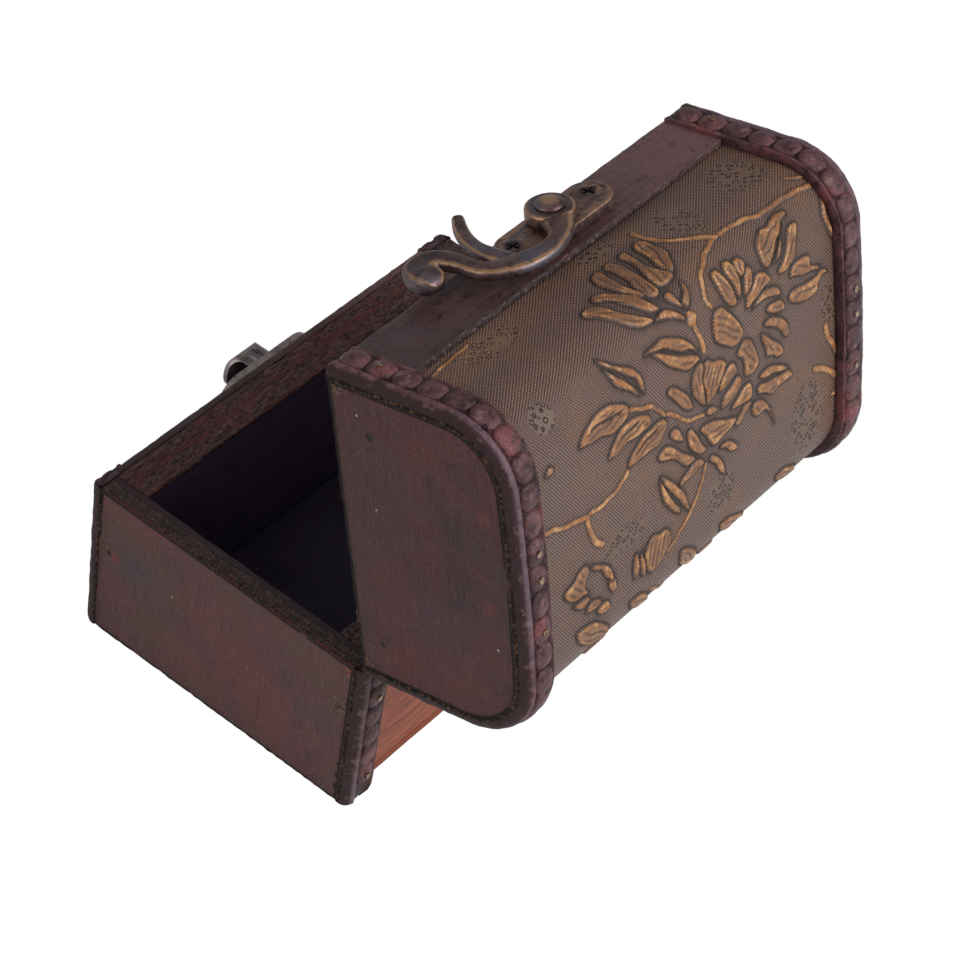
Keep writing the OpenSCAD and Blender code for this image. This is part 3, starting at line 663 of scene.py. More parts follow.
# Outlines of the petals and leaves: x and way in turn, in millimetres; the way runs up from the opening.
petals = [
    (-40, 47.7, -38.1, 47.3, -36.7, 48.3, -36.9, 49.6, -34.6, 49.8, -32.1, 49.6, -30, 48.5, -28.3, 47.3, -29,
     45.8, -31.2, 46.2, -33.8, 46.5, -36, 46.9, -38.1, 46.2),
    (-38.1, 45.6, -36, 45.2, -32.9, 44.4, -30.4, 43.5, -29, 42.9, -29.6, 41.5, -31.2, 40.8, -33.3, 41.2, -34.8,
     41.9, -34.8, 43.5, -36.7, 44.6),
    (-33.8, 34.8, -32.9, 36.2, -31.2, 38.7, -29.6, 40.4, -27.1, 40.8, -25.8, 40.2, -28.3, 38.3, -29.6, 36.7,
     -31, 35, -32.9, 34.4),
    (-29, 35.6, -27.5, 37.3, -25.4, 38.1, -26.2, 36.9, -28.1, 35.4),
    (-33.1, 32.5, -31.2, 33.1, -28.8, 34.6, -26.2, 36.2, -23.8, 38, -22.5, 37.1, -22.5, 35, -23.7, 33.1, -25.4,
     32.1, -27.1, 32.3, -29.2, 31.7, -32.5, 31.6),
    (-43.8, 43.7, -42.1, 42.1, -40.8, 40, -40.3, 37.5, -41, 35.2, -42.6, 33.2, -42.9, 34.2, -41.8, 36.2, -41.5,
     38.3, -42.1, 40.8, -43.3, 42.5),
    (-27.7, 53.3, -26.7, 53.5, -25.4, 51.7, -23.8, 50.1, -21.9, 48.8, -20.8, 47.8, -22.5, 47.6, -24.6, 48.4,
     -26.3, 49.6, -27.4, 51.2),
    (-25.8, 56.2, -24.2, 56.3, -22.5, 55, -21, 54.6, -21, 52.9, -20.3, 51.2, -19.8, 49.4, -21.6, 50.7, -23.3,
     52.4, -25.1, 54.2),
    (-18.4, 54.4, -16.7, 55.3, -14.9, 54.7, -14.7, 52.8, -14.1, 50.8, -12.8, 49.5, -14, 48.2, -15.8, 48, -17.4,
     49.6, -18.2, 52.1),
    (-26.8, 47.7, -25, 47.6, -22.9, 46.8, -21.6, 45.4, -23.3, 45.1, -25.8, 45.6),
    (-26.2, 44.7, -24.2, 43.8, -21.7, 43.1, -19.2, 42.9, -17.7, 43.4, -19.1, 42.2, -21.7, 41.6, -23.8, 42,
     -25.1, 42.9),
    (-23.2, 40.3, -20.8, 40.9, -18.3, 41.7, -16.2, 42.2, -16.6, 40.4, -18.2, 39.2, -19.9, 37.8, -21.9, 38,
     -22.9, 39.1),
    (-14.7, 46.2, -12.1, 47.2, -10.3, 46.3, -8.7, 45, -7, 43.3, -6.8, 40.8, -7.4, 38.7, -9.6, 38.2, -11.3, 40.3,
     -13, 42.4, -14.2, 44.2),
    (-19.5, 36.7, -18.3, 38.4, -16.2, 39.7, -16.6, 37.4, -17.8, 35.7, -19.2, 35.7),
    (-18.7, 34.9, -16.8, 36.3, -15.8, 34.2, -16.6, 33.2, -18, 33.4),
    (-15.9, 36.7, -14.7, 39.2, -14.1, 36.7, -13.8, 34.2, -14.3, 32.6, -15.8, 32.8, -16.1, 35),
    (-13.8, 39.6, -12.1, 39.5, -11, 37.5, -10.5, 35, -11, 32.8, -12.4, 32.6, -13.2, 34.6, -13.6, 37.1),
    (-28.3, 62.7, -25.4, 62.3, -22.5, 62.8, -20.3, 61.5, -18.2, 60.4, -18.7, 59.1, -21.2, 59.7, -24.2, 60.4,
     -27.1, 60.8),
    (-27.3, 60.5, -25, 59.7, -22.5, 58.9, -20, 58.3, -18.8, 57.5, -20.3, 56.8, -22.9, 57.4, -25.4, 58.6),
    (-22.8, 69.5, -22, 67.5, -21.1, 65.8, -19.5, 64.7, -17.5, 64.7, -16.2, 62.9, -17, 61.6, -19.2, 62.4, -20.9,
     64.6, -22.3, 67.1),
    (-16.2, 61.2, -14.2, 62, -12.1, 63.5, -11.5, 62.6, -13.2, 61.2, -14.9, 60.3),
    (-11.8, 62, -9.6, 62.6, -7.5, 63, -5, 63.2, -3.7, 61.7, -2.8, 60, -1.5, 58.2, -3.3, 57.8, -5.8, 58.7, -8.3,
     59.9, -10.8, 61.2),
    (-16.3, 60, -14.6, 60.1, -12.1, 59.5, -10.2, 59.2, -12.5, 57.8, -15, 56.5, -16.3, 57.5),
    (-13.5, 55, -11.7, 56.3, -9.6, 57.4, -7.6, 57.2, -8.2, 55.7, -10.4, 54.5, -12.6, 53.7),
    (-12.4, 52.1, -10.4, 53, -8.3, 53.8, -7, 53.4, -8.2, 51.6, -10, 50.3, -11.3, 50.3),
    (-9.2, 49.5, -7.5, 51.7, -5.4, 53.4, -3.7, 54.3, -3.2, 51.7, -2.8, 49.2, -3.2, 46.2, -4.6, 45.7, -5.8, 47,
     -7.5, 47.4, -8.8, 48.2),
    (-3.2, 53.8, -1.2, 51.7, 0.2, 49.6, -0.3, 46.6, -2.1, 45.3, -3.2, 45.7, -2.7, 49.2),
    (-6.3, 57, -4.2, 56.7, -3.2, 55.4, -4.6, 55.3, -5.9, 56),
    (-12, 67.8, -10, 67.6, -8.2, 65.8, -6.9, 64.9, -9.2, 64.9, -10.9, 66.2),
    (-8.1, 71, -6.6, 69.6, -5.3, 67.5, -3.6, 65.7, -4.6, 65.1, -6.3, 66.7, -7.6, 68.7),
    (-9.2, 22.1, -8.8, 24.6, -7.2, 27.1, -5.4, 28.4, -4.3, 27.9, -4.9, 25, -5.8, 22.5, -6.6, 19.5, -7.9, 18.6,
     -9, 19.6),
    (-5.1, 29, -3.3, 29.5, -0.8, 29, -1, 25.8, -2.4, 23.3, -2.8, 20, -3.2, 18.9, -4.7, 19.1, -4, 22.1, -3.4,
     24.6, -4, 27.1),
    (-5.1, 30.6, -4.7, 32.9, -2.9, 34.8, -2.4, 33.4, -3.7, 32.1),
    (-1.9, 34.4, -0.8, 32.9, 0.2, 31.2, -1.2, 30.7, -1.8, 32.5),
    (-0.3, 29.4, 1.3, 30.1, 2.8, 28.8, 2.8, 26.7, 1.7, 24.2, 1.1, 21.2, 1.1, 18.9, -0.9, 19.1, -1.1, 22.5, -0.3,
     25.8),
    (2.8, 28.8, 4.4, 28.4, 5.1, 25.4, 5.7, 22.5, 5.1, 20.1, 4.2, 18.9, 2.4, 19.1, 2.8, 22.1, 3.5, 24.6, 3, 26.7),
    (2.4, 32, 4.2, 31.7, 5.9, 29.6, 7.2, 27.5, 8.3, 25.4, 9.9, 24.2, 9.1, 22.7, 7.7, 22.8, 6.4, 24.6, 5.1, 26.7,
     3.7, 29.2),
    (4.9, 32.8, 7.6, 32.8, 10.1, 30.9, 11.2, 29.2, 12.8, 26.7, 14.3, 24.8, 12.1, 23.8, 10.3, 25.7, 9.1, 28.2,
     7.4, 30.4),
    (-1.2, 36.2, 0.8, 35, 2.5, 34.1, 4.8, 33, 2.1, 32.6, 0.8, 33.2, -0.5, 34.6),
    (-2.6, 44.1, 0.4, 44.7, 3, 43.4, 5.5, 41.3, 7.2, 39.2, 9.3, 36.9, 7.4, 37.6, 4.9, 39.5, 2.8, 40.7, 0.4, 42),
    (-2.4, 42.9, 0, 41.1, 2.1, 40.3, 4.6, 38.7, 6.7, 37.4, 10.6, 36.6, 7.9, 36.1, 5, 36.3, 2.4, 37.6, -0.1, 39.9),
    (12.4, 42.6, 13.5, 40.8, 14.3, 38.7, 16, 37.1, 17.6, 35.4, 19.3, 33.7, 19.9, 32.1, 18.3, 33.6, 16.2, 35.3,
     14.1, 37, 12.8, 39.6),
    (13.8, 42.2, 15.9, 40.1, 18, 38.4, 19.3, 36.7, 19.7, 34, 18.3, 36.2, 16.3, 38.2, 14.6, 40.3),
    (17, 42.9, 18.8, 44.7, 21.7, 44.9, 25, 43.8, 27.9, 43.4, 29.9, 42.7, 28.3, 40.7, 25.8, 39.7, 23.3, 39.2,
     20.4, 40.1, 18.3, 41.2),
    (11.6, 47.9, 12.5, 49, 15, 49.2, 18.3, 48.8, 21.7, 49.5, 23.1, 49, 21.8, 47.4, 20, 45.9, 17.5, 45.1, 14.6,
     45.7, 12.4, 46.6),
    (7.6, 51.2, 8.8, 53, 10.8, 54, 14.2, 53.8, 17.5, 53.9, 18.1, 53.1, 16.8, 51.6, 14.6, 50.5, 11.7, 49.9, 8.7, 49.9),
    (-3.2, 63, -0.8, 62.4, 1.3, 60.4, 2.2, 58.3, 2, 56.6, 0.8, 56.3, -0.5, 58.7, -1.7, 61.2),
    (0.3, 62.9, 2.9, 62.8, 4.7, 60.8, 6.8, 59, 9.3, 57.8, 10.3, 56.7, 8.8, 55.7, 6.6, 56.7, 4.5, 58.7, 2.4, 60.7),
    (3.5, 57.2, 5.1, 56.3, 6.8, 54.2, 5.4, 53.6, 4.1, 54.9),
    (0.2, 52.6, 2.2, 51.7, 3.8, 49.6, 5.7, 47.5, 6.8, 46, 5, 45.5, 3, 47.6, 1.2, 49.9),
    (2.6, 72.4, 3.8, 70.8, 5.1, 68.3, 7.2, 65.8, 8.8, 63.3, 9.9, 60.9, 7.4, 62.8, 5.3, 65.7, 3.7, 68.2, 2.8, 70.4),
    (5.1, 71.3, 6.8, 70.1, 8, 68.3, 9.3, 66.2, 10.1, 63.7, 9.9, 61.6, 8.7, 64.5, 7, 67.4, 5.5, 69.5),
    (-2, 64.8, 0, 65.5, 2.9, 65.7, 5.1, 65.9, 3.8, 64.7, 1.7, 63.8, -0.5, 63.5),
    (8, 75.2, 9.6, 76.7, 11.3, 78, 13.3, 78.6, 14.7, 77.1, 15.1, 75, 14.7, 72.8, 13.4, 71.4, 12.1, 71.3, 10.8,
     72.2, 9.2, 72, 8, 73.2),
    (15.2, 76.7, 16, 77.7, 16.5, 75, 15.9, 72.7, 15.3, 74.6),
    (17, 75.8, 18, 76.9, 18.5, 74.6, 17.3, 71.9, 16.8, 73.7),
    (23, 75, 24.2, 75.5, 25.1, 73.3, 24.3, 72, 23.5, 73.3),
    (27.4, 75.6, 30, 75.9, 31.4, 75, 30, 73.9, 28.3, 74.3),
    (25.3, 78.5, 27.5, 78, 28.5, 76.7, 26.7, 76.3, 25.3, 77.1),
    (24.1, 72.9, 25.9, 71.3, 26.8, 69.2, 28.4, 68.3, 29.3, 67, 27.5, 67.6, 25.3, 69.1, 24.3, 70.7),
    (30.3, 73.1, 32.5, 73.6, 34.8, 71.9, 32.5, 72, 30.8, 72.4),
    (30.3, 71.5, 32.5, 71.1, 35.1, 70.5, 36.8, 68.3, 35.9, 67.4, 34.2, 67, 32.9, 66.1, 31.2, 65.5, 30.1, 66.7,
     31.2, 68.3, 31.6, 70),
    (36.7, 42.9, 37.9, 43.4, 38.8, 42.7, 37.7, 42),
]
# The same flowers run on over the back: x and way of each petal's stalk end and tip, and its width
back_petals = [
    (-19, 89.8, -7, 81.8, 3.6), (-9, 98.8, 7, 89.8, 4.0), (7, 103.8, 15, 99.8, 3.4), (19, 92.8, 29, 86.8, 4.6),
    (-20.5, 106.8, -14.5, 98.3, 3.0), (9, 97.8, 17, 91.8, 3.2), (-2, 87.8, 5, 79.8, 3.4), (-35, 96.8, -26, 91.8, 3.2),
    (-11, 90.8, -3, 86.8, 3.0), (24, 84.8, 34, 78.3, 4.2), (12, 86.5, 19, 81.5, 3.2), (27, 97, 34, 91, 3.4),
    (-32, 86, -24, 82, 3.0), (-26, 101, -19, 95, 3.2), (20, 104, 28, 100, 3.4),
]
# Slits along the middle of some leaves
slits = [(19.2, 42.4, 26.7, 41.2), (15.0, 46.8, 19.4, 47.2), (10.4, 51.0, 16.3, 52.2), (-31.2, 33.5, -25.0, 38.1)]
vines = [
    [(-42.5, 31.5), (-38.8, 30.8), (-34.2, 30.2), (-28.3, 30.0), (-25.0, 29.0), (-21.7, 28.5), (-17.5, 28.3),
     (-14.2, 29.2), (-10.8, 30.8), (-8.3, 32.9), (-7.1, 35.4), (-7.5, 37.3)],
    [(-17.5, 28.3), (-15.0, 26.2), (-12.1, 23.7), (-10.4, 20.8), (-10.1, 16.7)],
    [(-2.3, 37.3), (-2.9, 40.0), (-4.0, 43.7)],
    [(42.4, 52.6), (38.3, 53.7), (36.7, 54.5), (33.3, 55.5), (30.0, 56.3), (25.8, 56.7), (22.5, 56.4), (20.0, 55.4),
     (18.3, 54.2)],
    [(29.6, 56.9), (29.1, 60.0), (28.0, 62.5), (26.1, 64.4)],
    [(-2.5, 65.8), (-1.9, 67.9), (0.4, 71.2), (2.9, 73.7), (5.8, 75.6), (8.8, 77.3)],
    [(-45.4, 74.4), (-43.8, 72.1), (-41.2, 69.6), (-38.8, 67.5), (-35.2, 65.2)],
    [(-45.4, 70.4), (-43.5, 67.9), (-41.7, 64.6), (-40.0, 61.7), (-38.8, 58.3)],
    [(7.7, 49.6), (9.2, 47.7), (11.3, 45.8), (14.2, 44.5), (17.2, 43.0)],
    [(-2.5, 55.5), (0.8, 54.7), (3.3, 53.0), (5.6, 50.8), (7.3, 49.5)],
    [(-42.5, 29.8), (-40.4, 28.7), (-38.8, 27.5)], [(-45.0, 75.8), (-42.5, 74.6), (-40.8, 74.0)],
    [(30.5, 14.2), (36, 14.6), (42.4, 15.2)], [(-19, 98.8), (-9, 94.8), (4, 89.8), (13, 82.8)],
    [(-42, 105), (-29, 100), (-19, 98.8)], [(-10, 104), (0, 106), (10, 103)],
]
ring_beds = [
    (-33, 74, 5.0, 7.5), (-17.5, 21, 3.6, 5.5), (-34.5, 20.5, 5.2, 5.0), (-7, 74.5, 3.8, 4.4), (20, 67, 6.0, 2.4),
    (28, 17.3, 7.0, 2.8), (35.5, 34, 2.6, 2.8), (-41, 54, 3.2, 4.2), (-2, 15, 4.5, 1.8), (-21, 87, 6.0, 3.5),
    (33, 99, 6.0, 4.0), (-3, 102, 5.0, 3.0), (-29, 105, 5.0, 3.0),
]
cover_marks = ("gold", "groove", "middle", "grime_and_shade", "beds")
cover_half = 42.1        # half the covers' width, in millimetres like the three below
cover_thickness = 0.5
first_way = 12.5         # where the covers start: the edge of the rails
front_length = 23.1
weave_cosine, weave_sine = 0.819, 0.574      # the weave lies 35 degrees off the box's length


def curved(points, closed=False, steps=3):
    """Points of a smooth line through the given ones, so many for each stretch."""
    count = len(points)
    line = []
    for number in range(count if closed else count - 1):
        picks = [number - 1, number, number + 1, number + 2]
        picks = [pick % count if closed else min(max(pick, 0), count - 1) for pick in picks]
        a, b, c, d = [np.array(points[pick], float) for pick in picks]
        for t in [step / steps for step in range(steps)]:
            bend, sway = 2 * a - 5 * b + 4 * c - d, 3 * b - a - 3 * c + d
            line.append((2 * b + (c - a) * t + bend * t * t + sway * t ** 3) / 2)
    return line if closed else line + [np.array(points[-1], float)]


def off_line(x, way, line):
    """Distance of each point from a line of points."""
    nearest = np.full_like(x, 9.0)
    for start, end in zip(line, line[1:]):
        along = end - start
        part = np.clip(((x - start[0]) * along[0] + (way - start[1]) * along[1]) / (along @ along + 1e-9), 0, 1)
        nearest = np.minimum(nearest, np.hypot(x - start[0] - part * along[0], way - start[1] - part * along[1]))
    return nearest


def within(x, way, outline):
    """Whether each point lies inside a closed outline."""
    inside = np.zeros(x.shape, bool)
    for start, end in zip(outline, outline[1:] + outline[:1]):
        crossed = (start[1] > way) != (end[1] > way)
        rise = end[1] - start[1] if abs(end[1] - start[1]) > 1e-9 else 1e-9
        inside ^= crossed & (x < start[0] + (way - start[1]) / rise * (end[0] - start[0]))
    return inside


def petal_outline(x0, way0, x1, way1, width):
    """The outline of a plain petal from its stalk end to its tip."""
    ahead = np.array((x1 - x0, way1 - way0), float)
    aside = np.array((-ahead[1], ahead[0])) / np.hypot(*ahead)
    swell = ((0.0, 0.05), (0.15, 0.55), (0.4, 0.92), (0.65, 1.0), (0.85, 0.72), (1.0, 0.08))
    left = [(x0, way0) + ahead * part + aside * width / 2 * wide for part, wide in swell]
    right = [(x0, way0) + ahead * part - aside * width / 2 * wide for part, wide in swell]
    return left + right[::-1]


def pressed(x, way):
    """The pressed pattern over arrays of x and way, in millimetres: its height and its five marks."""
    x, way = x + 0.10 * np.sin(1.3 * way + 0.6 * x), way + 0.10 * np.sin(1.5 * x + 0.5 * way)
    height, gold, groove, middle, grime_and_shade = (np.zeros_like(x) for _ in range(5))
    # Grime near the rail at the latch, and painted shade darkening the ground along the rail toward the left
    grime_and_shade += 0.9 * np.exp(-((way - 12.5) / 2.2) ** 2) * np.exp(-((x + 8.0) / 18.0) ** 2)
    grime_and_shade += 0.6 * np.exp(-((way - 13.0) / 6.5) ** 2) * np.clip((8.0 - x) / 24.0, 0, 1)
    beds = np.zeros_like(x)
    for bed_x, bed_way, half_x, half_way in ring_beds:
        off = np.hypot((x - bed_x) / half_x, (way - bed_way) / half_way)
        beds = np.maximum(beds, np.clip((1.08 - off) / 0.16, 0, 1))
    for line in vines:
        line = curved(line)
        along = np.cumsum([0.0] + [np.hypot(*(b - a)) for a, b in zip(line, line[1:])])
        nearest = off_line(x, way, line)
        half = 0.44 + 0.12 * math.sin(along[-1])
        raised = np.clip((half - nearest) / 0.30, 0, 1)
        height = np.maximum(height, 0.26 * raised ** 0.6)
        gold = np.maximum(gold, np.clip((half + 0.10 - nearest) / 0.34, 0, 1))
        groove = np.maximum(groove * (1 - raised), 0.8 * np.exp(-((nearest - half - 0.18) / 0.16) ** 2))
    outlines = [list(zip(petal[::2], petal[1::2])) for petal in petals]
    outlines += [petal_outline(*petal) for petal in back_petals]
    for number, outline in enumerate(outlines):
        outline = curved(outline, closed=True)
        corners = np.array(outline)
        centre = corners.mean(0)
        reach = np.hypot(*(corners - centre).T)
        far = corners[reach.argmax()] - centre
        far = far / np.hypot(*far)
        near = np.hypot(x - centre[0], way - centre[1]) < reach.max() + 1.2
        if not near.any():
            continue
        from_x, from_way = x[near] - centre[0], way[near] - centre[1]
        aside = from_way * far[0] - from_x * far[1]
        ahead = from_x * far[0] + from_way * far[1]
        clear = off_line(x[near], way[near], outline + outline[:1])
        clear = np.where(within(x[near], way[near], outline), -clear, clear)
        raised = np.clip(-clear / 0.40, 0, 1)
        deep = np.clip((-clear - 0.30) / 0.7, 0, 1)
        crease = deep * np.clip(np.sin(aside * 5.2 + 0.9 * np.sin(ahead * 0.9 + number)) - 0.25, 0, 1) * 1.1
        lay = 0.42 * raised ** 0.6 - 0.10 * deep - 0.10 * crease
        # edge_line: a dip just outside each petal, painted dark as the shade at its edge
        edge_line = np.exp(-((clear - 0.20) / 0.24) ** 2)
        height[near] = np.where(raised > 0, np.maximum(lay, height[near] * 0.5), height[near]) - 0.10 * edge_line
        gold[near] = np.where(raised > 0, np.clip(-clear / 0.34, 0, 1) * (1 - 0.85 * crease), gold[near])
        groove[near] = np.maximum(np.where(raised > 0, crease * 0.95, groove[near]), edge_line * 0.85)
        middle[near] = np.where(raised > 0, deep, middle[near])
        # Painted shade: a dark halo on the ground around the petal, where it also stays unrubbed
        grime_and_shade[near] += np.exp(-np.clip(clear, 0, 9) / 0.9) * (raised <= 0)
    for x0, way0, x1, way1 in slits:
        slit = off_line(x, way, curved([(x0, way0), ((x0 + x1) / 2, (way0 + way1) / 2 - 0.2), (x1, way1)]))
        cut = np.exp(-(slit / 0.26) ** 2)
        height -= 0.30 * cut
        groove = np.maximum(groove, cut)
        gold = gold * (1 - cut)
    knob = np.hypot(x + 2.3, way - 36.6)
    height = np.where(knob < 1.2, 0.42 * np.sqrt(np.clip(1 - (knob / 1.2) ** 2, 0, 1)), height)
    gold = np.where(knob < 1.15, 1.0, gold)
    groove = np.where(knob < 1.1, 0.0, np.maximum(groove, 0.8 * np.exp(-((knob - 1.35) / 0.16) ** 2)))
    gold = gold * (1 - 0.45 * np.exp(-((way - 24.0) / 11.0) ** 2) * (0.75 + 0.25 * np.sin(0.9 * x + 0.7 * way)))
    beds = beds * (gold < 0.05) * (1 - np.clip(groove, 0, 1))
    gold = np.maximum(gold, 0.26 * np.exp(-((way - 16.5) / 6.5) ** 2) * np.clip((x + 2.0) / 26.0, 0, 1) * (1 - groove))
    return height, (gold, np.clip(groove, 0, 1), middle, np.clip(grime_and_shade - 0.25, 0, 1), beds)


def cover(name, place, xs, ways, backs):
    """A thin cover laid along a way: its pressed outside and a plain back, as rings at each x."""
    grid_x, grid_way = np.meshgrid(np.array(xs), np.array(ways), indexing="ij")
    height, patterns = pressed(grid_x, grid_way)
    rim = np.minimum(np.minimum(grid_way - ways[0], ways[-1] - grid_way), np.minimum(grid_x - xs[0], xs[-1] - grid_x))
    height = height * np.clip(rim / 0.5, 0, 1) - 0.18 * np.exp(-(rim / 0.25) ** 2)
    rings = [[place(x, way, cover_thickness + rise) for way, rise in zip(ways, heights)]
             + [place(x, way, 0.0) for way in backs] for x, heights in zip(xs, height)]
    marks = {label: [list(column) + [0.0] * len(backs) for column in values]
             for label, values in zip(cover_marks, patterns)}
    every = list(ways) + list(backs)
    marks["weave_x"] = [[x * weave_cosine + way * weave_sine for way in every] for x in xs]
    marks["weave_y"] = [[way * weave_cosine - x * weave_sine for way in every] for x in xs]
    return loft(name, rings, **marks)


leather = Finish("embossed_leather", roughness=0.5, specular=0.45)
gold_mark, groove_mark, middle_mark, grime_and_shade_mark, bed_mark = (leather.painted(label) for label in cover_marks)
weave_place = leather.node("ShaderNodeCombineXYZ", {}, leather.painted("weave_x"), leather.painted("weave_y"))
threads, crossing = (
    leather.node("ShaderNodeTexWave", {"wave_type": "BANDS", "bands_direction": across}, Vector=weave_place,
                 Scale=0.66, Distortion=0.8, Detail=1.0, Detail_Scale=1.5, output="Fac") for across in "XY")
weave = threads * crossing
broad = leather.grains(55.0, 4.0, 0.6, 0.4)
fine = leather.grains(520.0, 4.0, 0.65)
speck = leather.grains(1900.0, 2.0, 0.6)
dapple = leather.grains(260.0, 3.0, 0.6, 0.5)
gilt = (broad * 0.7 + fine * 0.3).between(0.47, 0.64) * (0.25 + weave * 0.9).least(1.0)
ring_cells = leather.cells(0.74, of=weave_place, randomness=0.45)
# ring_line paints the dark outlines of the pressed rings, painted shade in their grooves
ring_line = ring_cells.between(0.22, 0.30) * (1 - ring_cells.between(0.34, 0.44)) * bed_mark
ring_eye = (1 - ring_cells.between(0.08, 0.22)) * bed_mark
ground = leather.coats(
    leather.blend((54, 38, 34), (138, 106, 92), weave.between(0.05, 0.50)),
    ((150, 106, 64), gilt * 0.65),
    ((58, 42, 38), (fine * 0.6 + broad * 0.4).between(0.52, 0.70) * 0.5),
    # Grime and painted shade: the ground darkened along the rail and around the petals
    ((40, 29, 28), grime_and_shade_mark * (0.45 + broad * 0.5)),
    ((92, 72, 60), bed_mark * 0.5),
    ((26, 18, 16), ring_line * 0.95),
    ((162, 118, 74), ring_eye * fine.between(0.36, 0.56) * 0.8))
worn_through = (fine * 0.40 + speck * 0.25 + dapple * 0.60 + middle_mark * 0.10 - gold_mark * 0.10).between(0.48, 0.66)
rubbed = leather.coats(leather.blend((146, 94, 50), (200, 148, 94), fine.between(0.40, 0.62)),
                       ((92, 58, 42), worn_through * 0.80))
leather_colour = leather.coats(
    ground,
    (rubbed, (gold_mark * 1.1).between(0.12, 0.80) * (0.72 + fine * 0.4).least(1.0)),
    # Painted shade, partly the unrubbed dark ground: near-black brown in the grooves, creases, slits and outlines of
    # the pressed pattern
    ((34, 22, 17), groove_mark.between(0.10, 0.85) * 0.90))
leather.wear(Base_Color=leather_colour, Roughness=0.40 + weave * 0.18 - gold_mark * 0.06 + groove_mark * 0.25,
             Normal=leather.bumped(weave * (1.0 - gold_mark * 0.8) * (1.0 - bed_mark * 0.7) + fine * 0.5
                                   + ring_eye * 1.2 - ring_line * 1.2, 0.00016, 0.9))


def spread(first, length, steps):
    """Places at even steps along a length."""
    return [first + length * step / steps for step in range(steps + 1)]


def over_lid(x, way, rise):
    place = lid_point(way / 1000, rise / 1000, cover_thickness / 1000)
    return (x / 1000, place.x, place.y)


def down_front(x, way, rise):
    return (x / 1000, -half_depth - rise / 1000, base_height - way / 1000)


lid_ways = spread(first_way, sum(lid_stretches(cover_thickness / 1000)) * 1000 - 2 * first_way, 293)
front_ways = spread(first_way, front_length, 89)
lid_skin = cover("lid_embossed_cover", over_lid, spread(-cover_half, 2 * cover_half, 279), lid_ways,
                 spread(lid_ways[-1], lid_ways[0] - lid_ways[-1], 23))
front_skin = cover("base_embossed_cover", down_front, spread(-cover_half, 2 * cover_half, 229), front_ways,
                   [front_ways[-1], front_ways[0]])
finished(lid_skin, "lid", leather, ["lid_cover"], on_lid=True, angle=60)
finished(front_skin, "base", leather, ["base_front_cover"], angle=60)

# Beaded trims: cast or pressed strips, stained like the box, with a row of oval
# beads between a thin inner lip and a round outer band; glued and nailed on.
trim_lift = 0.0024       # how far out of the boards a trim stands
trim_cell = 0.0006       # length of the cells of its mesh
bead_pitch = 0.0053
first_bead = 0.0031
bead_middle = 0.0449     # how far along the box the beads' middles are
oval_corners = 28
foot_round = 3.0         # radius of the rounded foot of a short trim, in millimetres
trim_wood = Finish("beaded_trim", roughness=0.42, specular=0.26)
trim_cloud = trim_wood.grains(110.0, 4.0, 0.6, 0.4)
trim_broad = trim_wood.grains(45.0, 3.0, 0.5)
trim_fuzz = trim_wood.grains(1300.0, 3.0, 0.7)
trim_stipple = trim_wood.grains(520.0, 4.0, 0.7)
trim_high = trim_wood.painted("high")
outer_part = trim_wood.painted("band")
trim_band = outer_part.between(0.55, 1.0)
trim_colour = trim_wood.coats(
    trim_wood.blend((60, 37, 41), (98, 63, 66), (trim_cloud * 0.6 + trim_stipple * 0.4).between(0.38, 0.62)),
    ((124, 50, 48), trim_cloud.between(0.56, 0.68) * 0.35),
    # Painted sheen: a lilac-grey ridge between the beads and the dark outer band
    ((98, 82, 92), outer_part.between(0.05, 0.45) * (0.16 + trim_broad.between(0.44, 0.62) * 0.50)),
    ((44, 19, 21), trim_band * (0.66 + trim_stipple * 0.6).least(1.0)),
    # Painted shade: darker where the trim is low, in the valleys around the beads and at their feet
    ((32, 21, 22), (1 - trim_high.between(0.05, 0.60)) * 0.75),
    ((20, 13, 13), (1 - trim_stipple.between(0.34, 0.46)) * 0.6),
    # Painted highlight: light specks on the raised parts of the trim
    ((138, 110, 108), (trim_high * trim_stipple).between(0.54, 0.68) * 0.4))
trim_wood.wear(Base_Color=trim_colour, Roughness=0.36 + trim_stipple * 0.25 + trim_band * 0.12 - trim_high * 0.04,
               Normal=trim_wood.bumped(trim_stipple * 1.1 + trim_fuzz * 0.5 + trim_cloud * 0.7, 0.00036, 1.0))
# The section across a trim: how far along the box, how far out, how raised, how much of it is the outer band
section = [(42.1, 0.0, 0.2, 0), (42.1, 1.0, 0.4, 0), (42.12, 1.9, 0.8, 0), (42.2, 2.2, 1, 0), (42.4, 2.3, 1, 0),
           (42.62, 2.2, 0.8, 0), (42.85, 2.02, 0.2, 0), (43.5, 1.95, 0, 0), (45.0, 1.95, 0, 0), (46.4, 1.95, 0, 0),
           (46.95, 2.05, 0.2, 0), (47.15, 2.28, 0.8, 0.5), (47.5, 2.38, 1, 0.5), (47.95, 2.3, 1, 0.55),
           (48.35, 2.02, 1, 0.9), (48.7, 1.6, 1, 1), (48.92, 1.05, 0.8, 1), (49.0, 0.5, 0.5, 1), (49.0, 0.0, 0.2, 1)]
mitre_slope = math.tan(lid_open / 2 + math.radians(1.0))


def mitred(place, way_up):
    """Pulls a point behind the hinge axis back to the mitre of its trim."""
    x, y, z = place
    if y > hinge_back:
        limit = hinge_height + way_up * (y - hinge_back) * mitre_slope
        z = max(z, limit) if way_up > 0 else min(z, limit)
    return (x, y, z)


def squared(turn, power):
    """The cosine and the sine of a turn, drawn out toward the corners by a power below 1."""
    return [math.copysign(abs(value) ** power, value) for value in (math.cos(turn), math.sin(turn))]


